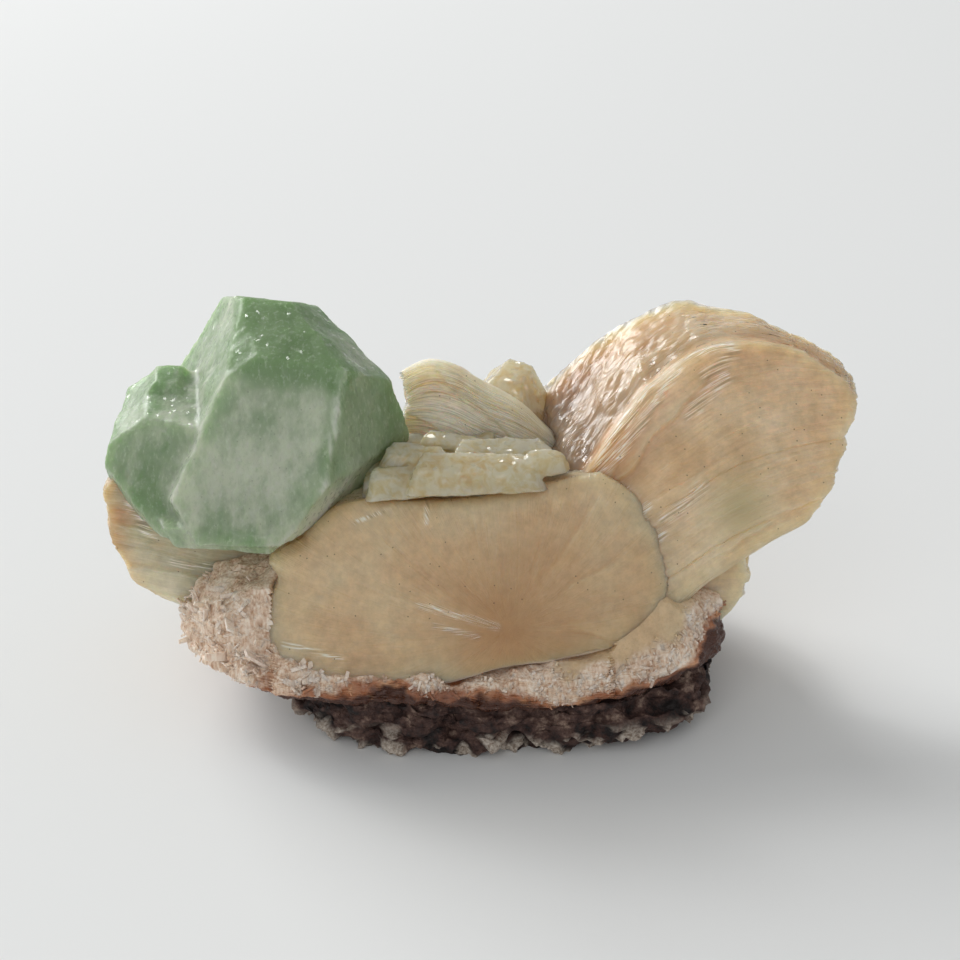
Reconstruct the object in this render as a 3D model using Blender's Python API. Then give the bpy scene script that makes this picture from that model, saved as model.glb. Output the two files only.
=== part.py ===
"""Fluorite and stilbite specimen: a green crystal and tan crystal sheaves on a druse crust and a basalt base.

Every size below is in millimetres and becomes metres where a mesh is made. X runs to the right, Y to the back
and Z up. The origin is under the middle of the specimen, on the surface that it stands on.
"""

import math
import random
from dataclasses import dataclass

import bmesh
import bpy
from mathutils import Vector, noise

MM = 0.001
CLEARANCE = 0.3

# The middle of the specimen in the coordinates that its sizes are drawn in
DRAWN_CENTRE = Vector((-0.1, 2.28, 0.0))

# The plane of the broad front face: it leans back, and meets the ground line this far in front
BROAD_FACE_LEAN = 32.5
BROAD_FACE_Y = -27.0

COLOURS = {
    "basalt": (0.045, 0.030, 0.026),
    "druse": (0.50, 0.40, 0.33),
    "stilbite": (0.48, 0.33, 0.19),
    "pale_stilbite": (0.42, 0.37, 0.24),
    "fluorite": (0.20, 0.32, 0.17),
    "clear_crystal": (0.45, 0.46, 0.36),
}
ROUGHNESS = {
    "basalt": 0.85,
    "druse": 0.45,
    "stilbite": 0.35,
    "pale_stilbite": 0.30,
    "fluorite": 0.22,
    "clear_crystal": 0.12,
}


@dataclass
class Stone:
    """A rounded block of stone. It is squarer the higher its powers are, and its keel narrows its underside."""

    name: str
    centre: Vector
    half_width: float
    half_depth: float
    below: float
    above: float
    plan_power: float
    side_power: float
    keel: float
    lump: float
    seed: float
    detail: int = 4


BASE = Stone(
    name="basalt_base",
    centre=Vector((2.5, 0.5, 5.0)),
    half_width=32.0,
    half_depth=21.8,
    below=8.0,
    above=5.5,
    plan_power=3.0,
    side_power=3.6,
    keel=0.52,
    lump=0.06,
    seed=4.0,
)
CRUST = Stone(
    name="druse_crust",
    centre=Vector((-3.0, 2.5, 13.5)),
    half_width=40.0,
    half_depth=25.5,
    below=10.0,
    above=11.0,
    plan_power=2.8,
    side_power=2.6,
    keel=0.24,
    lump=0.05,
    seed=9.0,
    detail=3,
)


@dataclass
class Sheaf:
    """A fan of crystal blades. Its broad face is drawn by four outlines, as (across, up) on a plane that leans back."""

    name: str
    base_y: float
    lean: float
    turn: float
    left: list
    right: list
    bottom: list
    top: list
    low_depth: tuple
    top_depth: tuple
    rear_rise: tuple = (0.0, 0.0, 0.0)
    rear_reach: tuple = (0.0, 0.0)
    flute: float = 0.35
    tooth: float = 0.6
    cuts: tuple = (12, 9, 1)
    seed: int = 1


BOW_TIE = Sheaf(
    name="stilbite_bow_tie",
    base_y=BROAD_FACE_Y,
    lean=BROAD_FACE_LEAN,
    turn=0.0,
    left=[(-28.7, 15.6), (-30.1, 19.5), (-29.3, 25.1), (-27.2, 28.3), (-30.2, 30.4), (-28.3, 32.2),
          (-25.2, 34.1), (-23.5, 36.3), (-19.6, 38.7), (-14.4, 39.5)],
    right=[(18.8, 18.4), (24.1, 22.0), (27.2, 26.5), (26.9, 31.4), (25.4, 36.3), (22.6, 40.0), (17.3, 43.4)],
    bottom=[(-28.7, 15.6), (-24.7, 13.8), (-17.8, 12.6), (-5.2, 13.4), (3.2, 15.6), (10.8, 16.7), (18.8, 18.4)],
    top=[(-14.4, 39.5), (-6.7, 39.3), (1.8, 40.0), (11.6, 42.2), (17.3, 43.4)],
    low_depth=(6.0, 5.0),
    top_depth=(9.0, 6.0),
    rear_rise=(-2.0, -3.0, -2.0),
    flute=0.25,
    cuts=(15, 10, 1),
    seed=3,
)
RIGHT_FAN = Sheaf(
    name="stilbite_right_fan",
    base_y=-24.5,
    lean=BROAD_FACE_LEAN,
    turn=0.0,
    left=[(6.0, 18.1), (7.4, 23.8), (9.6, 32.2), (13.1, 39.3)],
    right=[(47.4, 35.1), (50.3, 39.3), (52.4, 44.8), (52.8, 46.8), (54.5, 50.5), (54.1, 53.6), (51.4, 56.2),
           (46.1, 59.7)],
    bottom=[(6.0, 18.1), (17.3, 17.3), (25.7, 20.7), (31.4, 25.2), (37.1, 29.1), (43.6, 33.0), (47.4, 35.1)],
    top=[(13.1, 39.3), (15.3, 42.5), (19.1, 47.9), (23.2, 53.3), (25.7, 55.5), (31.8, 59.8), (36.1, 60.8),
         (40.4, 61.0), (46.1, 59.7)],
    low_depth=(16.0, 11.0),
    top_depth=(17.5, 5.0),
    rear_rise=(6.0, 4.0, 0.0),
    rear_reach=(-4.5, 0.0),
    flute=0.45,
    cuts=(13, 10, 1),
    seed=5,
)
MIDDLE_SHEAF = Sheaf(
    name="stilbite_middle_sheaf",
    base_y=2.5,
    lean=8.0,
    turn=-6.0,
    left=[(-10.8, 29.0), (-12.0, 35.4), (-12.5, 38.5), (-11.4, 41.6), (-13.0, 44.9)],
    right=[(11.8, 25.0), (12.6, 31.2), (11.3, 36.6)],
    bottom=[(-10.8, 29.0), (-4.6, 26.0), (2.9, 24.0), (11.8, 25.0)],
    top=[(-13.0, 44.9), (-10.8, 46.7), (-7.9, 47.9), (-4.4, 47.4), (-0.3, 45.2), (5.6, 42.1), (11.3, 36.6)],
    low_depth=(11.0, 11.0),
    top_depth=(8.0, 8.0),
    rear_rise=(-5.0, -5.0, -4.0),
    flute=0.5,
    cuts=(9, 9, 1),
    seed=7,
)
LEFT_BLADES = Sheaf(
    name="stilbite_left_blades",
    base_y=-7.0,
    lean=12.0,
    turn=0.0,
    left=[(-45.4, 15.4), (-50.5, 18.1), (-52.4, 21.3), (-53.4, 23.9), (-54.1, 28.9), (-54.8, 31.9), (-52.4, 35.2)],
    right=[(-27.0, 13.6), (-25.2, 15.4), (-25.4, 19.3), (-25.7, 26.9)],
    bottom=[(-45.4, 15.4), (-40.0, 13.6), (-27.0, 13.6)],
    top=[(-52.4, 35.2), (-45.8, 34.0), (-37.3, 30.0), (-25.7, 26.9)],
    low_depth=(13.0, 16.0),
    top_depth=(11.0, 16.0),
    rear_rise=(-2.0, -3.0, -3.0),
    flute=0.5,
    tooth=0.7,
    cuts=(8, 8, 1),
    seed=11,
)
RIGHT_BLADES = Sheaf(
    name="stilbite_right_blades",
    base_y=-9.0,
    lean=10.0,
    turn=0.0,
    left=[(21.8, 10.0), (21.9, 14.9), (21.6, 19.8)],
    right=[(32.0, 10.4), (35.2, 12.9), (38.0, 15.8), (39.2, 18.6), (39.7, 21.1), (39.2, 24.0)],
    bottom=[(21.8, 10.0), (27.2, 9.4), (32.0, 10.4)],
    top=[(21.6, 19.8), (31.3, 23.2), (39.2, 24.0)],
    low_depth=(12.0, 8.0),
    top_depth=(12.0, 9.0),
    flute=0.4,
    cuts=(6, 7, 1),
    seed=13,
)

# Facets of each blocky crystal: compass turn from the front, tilt above level and distance from its centre
FLUORITE_CENTRE = Vector((-31.0, 4.0, 41.0))
FLUORITE_FACETS = (
    ("front", -6, 24, 10.7),
    ("upper front", 4, 65, 14.0),
    ("upper front left", -38, 49, 12.3),
    ("upper left", -76, 29, 9.4),
    ("right", 55, 6, 16.2),
    ("upper right", 95, 52, 16.3),
    ("lower right", 56, -26, 16.5),
    ("lower left", -63, -18, 17.4),
    ("lower front", -1, -65, 17.7),
    ("bottom", 42, -80, 14.1),
    ("top", 165, 65, 16.8),
    ("back", 174, 6, 13.0),
    ("back right", 131, 17, 15.2),
    ("back left", -128, 6, 21.0),
)
SHOULDER_CENTRE = Vector((-43.0, 4.0, 39.0))
SHOULDER_FACETS = (
    ("front", -20, 23, 7.5),
    ("top", -13, 79, 5.7),
    ("upper left", -74, 51, 6.7),
    ("left", -92, 12, 9.0),
    ("lower left", -57, -24, 11.7),
    ("bottom", 8, -80, 12.5),
    ("right", 90, 0, 10.0),
    ("back", 178, 12, 7.0),
)
KNOB_CENTRE = Vector((-44.6, 7.0, 43.1))
KNOB_FACETS = (
    ("front", -12, 24, 3.4),
    ("top", 30, 84, 3.4),
    ("upper left", -80, 40, 3.4),
    ("left", -90, 0, 4.0),
    ("upper right", 80, 42, 3.6),
    ("right", 90, 0, 4.0),
    ("back", 180, 20, 3.6),
    ("bottom", 0, -80, 4.0),
)
LEDGE_CENTRE = Vector((-34.0, -6.0, 28.4))
LEDGE_FACETS = (
    ("front", -10, -14, 5.2),
    ("top", 0, 86, 3.0),
    ("bottom", 6, -82, 1.5),
    ("left", -66, -22, 9.0),
    ("right", 64, -8, 7.4),
    ("back", 180, 0, 8.0),
)
CLEAR_CENTRE = Vector((4.6, 14.5, 36.0))
CLEAR_FACETS = (
    ("front", -22, 12, 4.2),
    ("right", 66, 26, 5.4),
    ("back", 158, 6, 4.4),
    ("left", -112, 4, 4.6),
    ("top", 20, 76, 7.0),
    ("front tip", -15, 48, 6.4),
    ("left tip", -105, 50, 6.6),
    ("bottom", 0, -88, 10.0),
)
SADDLE_CRYSTALS = (
    (Vector((3.4, 0.6, 31.2)), (("front", 2, 26, 4.6), ("top", 12, 74, 5.0), ("right", 86, 24, 6.4),
                                ("left", -96, 12, 7.4), ("back", 176, 5, 6.0), ("bottom", 0, -90, 5.6))),
    (Vector((-4.2, 0.2, 30.6)), (("front", -16, 18, 4.8), ("top", -24, 70, 5.6), ("right", 76, 14, 7.0),
                                 ("left", -88, 26, 6.0), ("back", 182, 8, 6.2), ("bottom", 0, -90, 5.6))),
    (Vector((-10.4, 1.4, 30.0)), (("front", 14, 12, 5.0), ("top", 20, 66, 6.0), ("right", 84, 10, 6.0),
                                  ("left", -92, 8, 6.2), ("back", 178, 8, 6.0), ("bottom", 0, -90, 5.6))),
)

# Small blades on the crust: the tilt of each row of them round it, and how many the row has
DRUSE_ROWS = ((-26, 18), (-8, 22), (14, 16), (38, 14))
DRUSE_LENGTH = (4.2, 6.6)
DRUSE_WIDTH = (1.6, 2.8)
DRUSE_ROOT = 0.92
CRUST_SETBACK = 0.6


def clear_scene():
    for old in list(bpy.data.objects):
        bpy.data.objects.remove(old)


def material(name):
    made = bpy.data.materials.get(name)
    if made is None:
        made = bpy.data.materials.new(name)
        made.use_nodes = True
        shader = made.node_tree.nodes["Principled BSDF"]
        shader.inputs["Base Color"].default_value = (*COLOURS[name], 1.0)
        shader.inputs["Roughness"].default_value = ROUGHNESS[name]
        shader.inputs["Metallic"].default_value = 0.0
    return made


def make_object(name, mesh_maker, finish):
    """Turns a bmesh in millimetres into an object in metres, with the specimen's middle over the origin."""
    bmesh.ops.translate(mesh_maker, vec=-DRAWN_CENTRE, verts=mesh_maker.verts)
    bmesh.ops.scale(mesh_maker, vec=Vector((MM, MM, MM)), verts=mesh_maker.verts)
    bmesh.ops.triangulate(mesh_maker, faces=mesh_maker.faces)
    bmesh.ops.recalc_face_normals(mesh_maker, faces=mesh_maker.faces)
    mesh = bpy.data.meshes.new(name)
    mesh_maker.to_mesh(mesh)
    mesh_maker.free()
    mesh.materials.append(material(finish))
    made = bpy.data.objects.new(name, mesh)
    bpy.context.scene.collection.objects.link(made)
    return made


def smoothstep(x):
    x = min(max(x, 0.0), 1.0)
    return x * x * (3 - 2 * x)


def along(points, t):
    """The point a share t of the way along an outline, by its length."""
    spans = [math.dist(a, b) for a, b in zip(points, points[1:])]
    left = t * sum(spans)
    for a, b, span in zip(points, points[1:], spans):
        if left <= span or b is points[-1]:
            return Vector(a).lerp(Vector(b), min(left / span, 1.0))
        left -= span


def three_way(values, t):
    """Start, middle and end values, read smoothly at t."""
    start, middle, end = values
    if t < 0.5:
        return start + (middle - start) * smoothstep(2 * t)
    return middle + (end - middle) * smoothstep(2 * t - 1)


def face_point(sheaf, u, v):
    """A point of the broad face, u along the blades and v across them, each from 0 to 1."""
    left, right = along(sheaf.left, v), along(sheaf.right, v)
    low, high = along(sheaf.bottom, u), along(sheaf.top, u)
    low_edge = Vector(sheaf.left[0]).lerp(Vector(sheaf.right[0]), u)
    high_edge = Vector(sheaf.left[-1]).lerp(Vector(sheaf.right[-1]), u)
    return left.lerp(right, u) + low.lerp(high, v) - low_edge.lerp(high_edge, v)


def segmented_block(cuts):
    """A two-unit cube cut into a grid along X, Y and Z."""
    block = bmesh.new()
    bmesh.ops.create_cube(block, size=2.0)
    for axis, count in enumerate(cuts):
        ends = [e for e in block.edges if abs((e.verts[0].co - e.verts[1].co)[axis]) > 0.1]
        bmesh.ops.subdivide_edges(block, edges=ends, cuts=count, use_grid_fill=True)
    return block


def build_sheaf(sheaf, finish="stilbite"):
    """Bends a grid block into the fan: its broad face in front, fluted along the blades, and stepped blade ends."""
    rng = random.Random(sheaf.seed)
    rows = sheaf.cuts[1] + 2
    steps = [0.0] + [rng.uniform(-0.5, 1.0) * sheaf.tooth for _ in range(rows - 2)] + [0.0]
    flutes = [rng.uniform(0.4, 1.0) * sheaf.flute * (-1) ** i for i in range(rows)]
    lean, turn = math.radians(sheaf.lean), math.radians(sheaf.turn)
    across = Vector((math.cos(turn), math.sin(turn), 0.0))
    backward = Vector((-math.sin(turn), math.cos(turn), 0.0))
    up = backward * math.sin(lean) + Vector((0.0, 0.0, math.cos(lean)))
    outward = across.cross(up)
    block = segmented_block(sheaf.cuts)
    for vert in block.verts:
        u, v, w = ((c + 1) / 2 for c in vert.co)
        row = min(round(v * (rows - 1)), rows - 1)
        flat = face_point(sheaf, u, v)
        fibre = face_point(sheaf, min(u + 0.05, 1.0), v) - face_point(sheaf, max(u - 0.05, 0.0), v)
        end = abs(2 * u - 1) ** 6 * (1 if u > 0.5 else -1)
        flat = flat + fibre.normalized() * steps[row] * end
        rise = three_way(sheaf.rear_rise, u) * v ** 3 * w
        reach = (sheaf.rear_reach[0] * (1 - u) + sheaf.rear_reach[1] * u) * w
        low = sheaf.low_depth[0] * (1 - u) + sheaf.low_depth[1] * u
        high = sheaf.top_depth[0] * (1 - u) + sheaf.top_depth[1] * u
        place = Vector((0.0, sheaf.base_y, 0.0)) + across * (flat.x + reach) + up * (flat.y + rise)
        place += outward * flutes[row] * (0.35 + abs(2 * u - 1)) * (1 - w)
        vert.co = place + backward * (low * (1 - v) + high * v) * w
    return make_object(sheaf.name, block, finish)


def facet_normal(turn, tilt):
    turn, tilt = math.radians(turn), math.radians(tilt)
    return Vector((math.sin(turn) * math.cos(tilt), -math.cos(turn) * math.cos(tilt), math.sin(tilt)))


def cut_crystal(name, centre, facets, finish):
    """A block trimmed by one plane for each facet."""
    reach = 4 * max(facet[3] for facet in facets)
    block = bmesh.new()
    bmesh.ops.create_cube(block, size=reach)
    for _, turn, tilt, distance in facets:
        normal = facet_normal(turn, tilt)
        whole = block.verts[:] + block.edges[:] + block.faces[:]
        cut = bmesh.ops.bisect_plane(block, geom=whole, plane_co=normal * distance, plane_no=normal, clear_outer=True)
        rim = [e for e in cut["geom_cut"] if isinstance(e, bmesh.types.BMEdge)]
        bmesh.ops.contextual_create(block, geom=rim)
    bmesh.ops.translate(block, vec=centre, verts=block.verts)
    return make_object(name, block, finish)


def stone_point(stone, way):
    """The stone's surface in a direction given on a unit ball."""
    plan = (abs(way.x) ** stone.plan_power + abs(way.y) ** stone.plan_power) ** (1 / stone.plan_power)
    size = (plan ** stone.side_power + abs(way.z) ** stone.side_power) ** (-1 / stone.side_power)
    rough = noise.fractal(way * 2.2 + Vector((stone.seed, 0, 0)), 0.9, 2.1, 3)
    fine = noise.noise(way * 7.5 + Vector((0, stone.seed, 0)))
    size *= 1 + stone.lump * (rough + 0.4 * fine)
    narrowed = 1 - stone.keel * max(-way.z * size, 0.0) ** 2
    height = stone.above if way.z > 0 else stone.below
    return stone.centre + size * Vector(
        (way.x * stone.half_width * narrowed, way.y * stone.half_depth, way.z * height)
    )


def build_stone(stone, finish):
    ball = bmesh.new()
    bmesh.ops.create_icosphere(ball, subdivisions=stone.detail, radius=1.0)
    for vert in ball.verts:
        vert.co = stone_point(stone, vert.co.normalized())
    return make_object(stone.name, ball, finish)


def apply_boolean(target, other, operation):
    modifier = target.modifiers.new("shape", "BOOLEAN")
    modifier.operation = operation
    modifier.solver = "EXACT"
    modifier.use_self = True
    modifier.object = other
    graph = bpy.context.evaluated_depsgraph_get()
    shaped = bpy.data.meshes.new_from_object(target.evaluated_get(graph))
    target.modifiers.clear()
    target.data = shaped


def grown_copy(source, margin):
    """A copy pushed out by a margin in millimetres, which leaves that gap round the source when it cuts."""
    shell = bmesh.new()
    shell.from_mesh(source.data)
    bmesh.ops.remove_doubles(shell, verts=shell.verts, dist=0.01 * MM)
    bmesh.ops.triangulate(shell, faces=shell.faces)
    shell.normal_update()
    moves = [(vert, vert.normal * min(vert.calc_shell_factor(), 2.0)) for vert in shell.verts]
    for vert, move in moves:
        vert.co += move * margin * MM
    mesh = bpy.data.meshes.new("cutter")
    shell.to_mesh(mesh)
    shell.free()
    made = bpy.data.objects.new("cutter", mesh)
    bpy.context.scene.collection.objects.link(made)
    return made


def keep_largest(target):
    """Drops the loose chips that a cut leaves beside the main solid."""
    solid = bmesh.new()
    solid.from_mesh(target.data)
    bmesh.ops.remove_doubles(solid, verts=solid.verts, dist=0.005 * MM)
    left, islands = set(solid.verts), []
    while left:
        island, edge = set(), [left.pop()]
        while edge:
            vert = edge.pop()
            island.add(vert)
            joined = {e.other_vert(vert) for e in vert.link_edges} & left
            left -= joined
            edge.extend(joined)
        islands.append(island)
    islands.sort(key=len, reverse=True)
    chips = [vert for island in islands[1:] for vert in island]
    bmesh.ops.delete(solid, geom=chips, context="VERTS")
    bmesh.ops.triangulate(solid, faces=solid.faces)
    solid.to_mesh(target.data)
    solid.free()


def carve(target, *cutters):
    for cutter in cutters:
        apply_boolean(target, cutter, "DIFFERENCE")
    keep_largest(target)


def fuse(target, *others):
    for other in others:
        apply_boolean(target, other, "UNION")
        bpy.data.objects.remove(other)


def slice_off(target, point, normal):
    """Removes what lies beyond a plane and closes the cut."""
    solid = bmesh.new()
    solid.from_mesh(target.data)
    whole = solid.verts[:] + solid.edges[:] + solid.faces[:]
    place = (point - DRAWN_CENTRE) * MM
    cut = bmesh.ops.bisect_plane(solid, geom=whole, plane_co=place, plane_no=normal, clear_outer=True)
    rim = [e for e in cut["geom_cut"] if isinstance(e, bmesh.types.BMEdge)]
    bmesh.ops.edgeloop_fill(solid, edges=rim)
    bmesh.ops.recalc_face_normals(solid, faces=solid.faces)
    solid.to_mesh(target.data)
    solid.free()


def druse_crystal(clump, rng, root, way):
    """Adds one small blade with a wedge end to the clump of them that grows on the crust."""
    length, width = rng.uniform(*DRUSE_LENGTH), rng.uniform(*DRUSE_WIDTH)
    made = bmesh.ops.create_cube(clump, size=1.0)["verts"]
    for vert in made:
        tip = vert.co.z > 0
        vert.co.x *= width * (0.35 if tip else 1.0)
        vert.co.y *= width * rng.uniform(0.5, 0.7)
        vert.co.z = length * (0.5 if tip else -0.5)
    turned = way.to_track_quat("Z", "Y").to_matrix()
    bmesh.ops.rotate(clump, cent=(0, 0, 0), matrix=turned, verts=made)
    bmesh.ops.translate(clump, vec=root, verts=made)


def build_druse_clump():
    """Small blades in rows round the crust, each pointing out and a little askew."""
    rng = random.Random(21)
    clump = bmesh.new()
    for tilt, count in DRUSE_ROWS:
        for i in range(count):
            turn = math.radians(360 * (i + rng.uniform(0.1, 0.9)) / count)
            rise = math.radians(tilt + rng.uniform(-5, 5))
            way = Vector((math.cos(turn) * math.cos(rise), math.sin(turn) * math.cos(rise), math.sin(rise)))
            root = CRUST.centre.lerp(stone_point(CRUST, way), DRUSE_ROOT)
            skew = Vector(rng.uniform(-0.45, 0.45) for _ in range(3))
            druse_crystal(clump, rng, root, (way + skew).normalized())
    return make_object("druse_clump", clump, "druse")


def build_fluorite():
    """The large green crystal, with its lower neighbour on the left, that one's knob and a ledge grown into it."""
    main = cut_crystal("fluorite_crystal", FLUORITE_CENTRE, FLUORITE_FACETS, "fluorite")
    shoulder = cut_crystal("shoulder", SHOULDER_CENTRE, SHOULDER_FACETS, "fluorite")
    knob = cut_crystal("knob", KNOB_CENTRE, KNOB_FACETS, "fluorite")
    ledge = cut_crystal("ledge", LEDGE_CENTRE, LEDGE_FACETS, "fluorite")
    fuse(main, shoulder, knob, ledge)
    keep_largest(main)
    return main


def build_saddle():
    """The low clear crystals in the dip between the sheaves, grown into one mass."""
    blocks = [cut_crystal("saddle_crystals", centre, facets, "clear_crystal") for centre, facets in SADDLE_CRYSTALS]
    fuse(*blocks)
    return blocks[0]


def build_base():
    """The broken basalt underneath, cut flat where it stands."""
    base = build_stone(BASE, "basalt")
    slice_off(base, Vector((0, 0, 0)), Vector((0, 0, -1)))
    return base


def build_crust():
    """The druse that covers the base and carries the crystals. Its front is trimmed back from the broad face."""
    crust = build_stone(CRUST, "druse")
    lean = math.radians(BROAD_FACE_LEAN)
    face_out = Vector((0, -math.cos(lean), math.sin(lean)))
    slice_off(crust, Vector((0, BROAD_FACE_Y, 0)) - face_out * CRUST_SETBACK, face_out)
    fuse(crust, build_druse_clump())
    return crust


def main():
    clear_scene()
    base = build_base()
    fluorite = build_fluorite()
    others = [
        build_sheaf(BOW_TIE),
        build_sheaf(RIGHT_FAN),
        build_sheaf(MIDDLE_SHEAF),
        cut_crystal("clear_crystal", CLEAR_CENTRE, CLEAR_FACETS, "clear_crystal"),
        build_saddle(),
        build_sheaf(LEFT_BLADES, "pale_stilbite"),
        build_sheaf(RIGHT_BLADES),
        build_crust(),
    ]
    # Each piece gives way to those before it
    cutters = [grown_copy(base, CLEARANCE), grown_copy(fluorite, CLEARANCE)]
    for piece in others:
        grown = grown_copy(piece, CLEARANCE)
        carve(piece, *cutters)
        cutters.append(grown)
    for cutter in cutters:
        bpy.data.objects.remove(cutter)


main()
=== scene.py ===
"""Fluorite and stilbite specimen: the finished surfaces of a green crystal and tan crystal sheaves on basalt.

Shapes are drawn in millimetres, with X to the right, Y to the back and Z up, and become metres when a piece
is finished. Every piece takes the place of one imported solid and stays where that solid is.
"""

import functools
import math
import random
from dataclasses import dataclass

import bmesh
import bpy
from bpy.props import FloatProperty, FloatVectorProperty, IntProperty, PointerProperty
from mathutils import Matrix, Vector, noise
from mathutils.bvhtree import BVHTree


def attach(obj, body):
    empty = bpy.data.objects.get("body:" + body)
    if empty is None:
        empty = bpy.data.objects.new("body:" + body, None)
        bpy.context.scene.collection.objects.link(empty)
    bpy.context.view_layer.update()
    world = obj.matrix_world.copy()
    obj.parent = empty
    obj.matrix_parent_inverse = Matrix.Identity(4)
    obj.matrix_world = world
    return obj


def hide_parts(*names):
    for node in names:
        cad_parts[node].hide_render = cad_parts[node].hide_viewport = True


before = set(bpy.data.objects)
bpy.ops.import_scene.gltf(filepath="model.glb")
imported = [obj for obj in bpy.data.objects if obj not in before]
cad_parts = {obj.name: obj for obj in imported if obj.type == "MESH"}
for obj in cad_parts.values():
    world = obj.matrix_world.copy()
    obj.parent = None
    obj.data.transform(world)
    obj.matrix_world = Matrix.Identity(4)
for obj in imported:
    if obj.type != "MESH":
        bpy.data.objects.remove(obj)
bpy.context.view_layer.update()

bl_info = {
    "name": "Crystal Specimen",
    "version": (1, 0, 0),
    "blender": (4, 5, 0),
    "location": "View3D > Sidebar > Specimen",
    "description": "Dresses the solids of a fluorite and stilbite specimen in detailed crystal surfaces",
    "category": "Add Mesh",
}

MM = 0.001

# The middle of the specimen in the coordinates that its sizes are drawn in
DRAWN_CENTRE = Vector((-0.1, 2.28, 0.0))
BROAD_FACE_LEAN = 32.5
BROAD_FACE_Y = -27.0

# The photographer's stand: how far the lens is from the specimen, how high it looks from and where it points
CAMERA_DISTANCE = 249.0
CAMERA_ELEVATION = 28.0
CAMERA_TARGET = Vector((0.36, 0.0, 33.0))
CAMERA_LENS = 65.0
CAMERA_SENSOR = 36.0


def linear(code):
    """An sRGB hex colour as linear red, green and blue."""
    parts = [int(code[i:i + 2], 16) / 255 for i in (1, 3, 5)]
    return tuple(c / 12.92 if c <= 0.04045 else ((c + 0.055) / 1.055) ** 2.4 for c in parts)


def colour_setting(name, description, code):
    return FloatVectorProperty(name=name, description=description, subtype="COLOR", default=linear(code))


class SpecimenSizes(bpy.types.PropertyGroup):
    """Real sizes of the surface detail."""

    blade_relief: FloatProperty(
        name="Blade relief",
        description="How far neighbouring blades of a sheaf stand above each other",
        default=0.00016,
        unit="LENGTH",
    )
    druse_count: IntProperty(
        name="Druse crystals",
        description="How many small crystals grow on the crust",
        default=5200,
    )
    druse_length: FloatProperty(
        name="Druse crystal length",
        description="Length of the longest small crystals on the crust",
        default=0.0032,
        unit="LENGTH",
    )
    rock_relief: FloatProperty(
        name="Rock relief",
        description="Height of the lumps on the broken basalt",
        default=0.0016,
        unit="LENGTH",
    )
    floor_width: FloatProperty(
        name="Floor width",
        description="Width of the plain floor that the specimen stands on",
        default=6.0,
        unit="LENGTH",
    )


class SpecimenColours(bpy.types.PropertyGroup):
    """Colours of the minerals."""

    stilbite: colour_setting("Stilbite", "Body of the tan sheaves", "#DDC8A3")
    stilbite_deep: colour_setting("Stilbite, deep", "Clearer, deeper parts of the sheaves", "#DBBD94")
    # The side tone here is painted shade: darker than the sheaves, laid on their sides that face the key
    # light and on the borders of their faces
    pearl_and_side_shade: colour_setting("Pearl", "Pearly blade ends and cleaved faces", "#8F8172")
    pale_stilbite: colour_setting("Pale stilbite", "Layered blades under the green crystal", "#DDD7BE")
    fluorite: colour_setting("Fluorite", "Milky body of the green crystal", "#D6DCC6")
    fluorite_deep: colour_setting("Fluorite, deep", "Clear green zones", "#8AA77A")
    druse: colour_setting("Druse", "Small crystals of the crust", "#E2C8AF")
    stain: colour_setting("Iron stain", "Orange brown stain near the rock", "#A9683F")
    basalt: colour_setting("Basalt", "Dark rock", "#422B25")
    floor: colour_setting("Floor", "Plain pale floor", "#E6E7E6")


@dataclass(frozen=True)
class Sheaf:
    """A fan of crystal blades, in millimetres and degrees.

    Its broad face is drawn by four outlines, as (across, up) on a plane that leans back. The blades spread
    from a waist inside the face, or through an angle from a root at one end of it. Depths, reaches and rises
    go from the left end to the right. A plate's edge has a start, an end and a height, and a streak of
    painted glint a start, an end and a breadth. Crown and belly swell the face, lip and rounding ease its
    border, tooth notches the blade ends, and rim, plates and ease shape its layers. Its pearly share says how
    glossy and glinting its sides are and how much side tone they carry, which is painted shade on the tan
    sheaves; its lines share says how much of the face is striped with painted glint between grooves of
    painted shade;
    stained_end and stain_reach say how far its stains go.
    """

    name: str
    node: str
    base_y: float
    lean: float
    turn: float
    left: tuple
    right: tuple
    bottom: tuple
    top: tuple
    low_depth: tuple
    top_depth: tuple
    grid: tuple
    waist: tuple = (0.0, 0.0)
    curl: float = 0.0
    spread: float = 0.0
    root: float = 0.0
    edges: tuple = ()
    green_spot: tuple = ()
    rear_rise: tuple = (0.0, 0.0, 0.0)
    rear_reach: tuple = (0.0, 0.0)
    tooth: float = 0.6
    crown: float = 0.5
    rounding: float = 1.4
    lip: float = 1.1
    flush_bottom: bool = False
    rim: float = 0.5
    ease: float = 0.7
    side_gloss_and_shade: float = 0.3
    streaks: tuple = ()
    # Share of the face striped with painted glint and painted groove shade
    lines: float = 0.0
    stained_end: float = 0.0
    stain_reach: tuple = (16.0, 16.0)
    belly: float = 0.0
    plates: float = 1.1
    seed: float = 1.0


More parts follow.
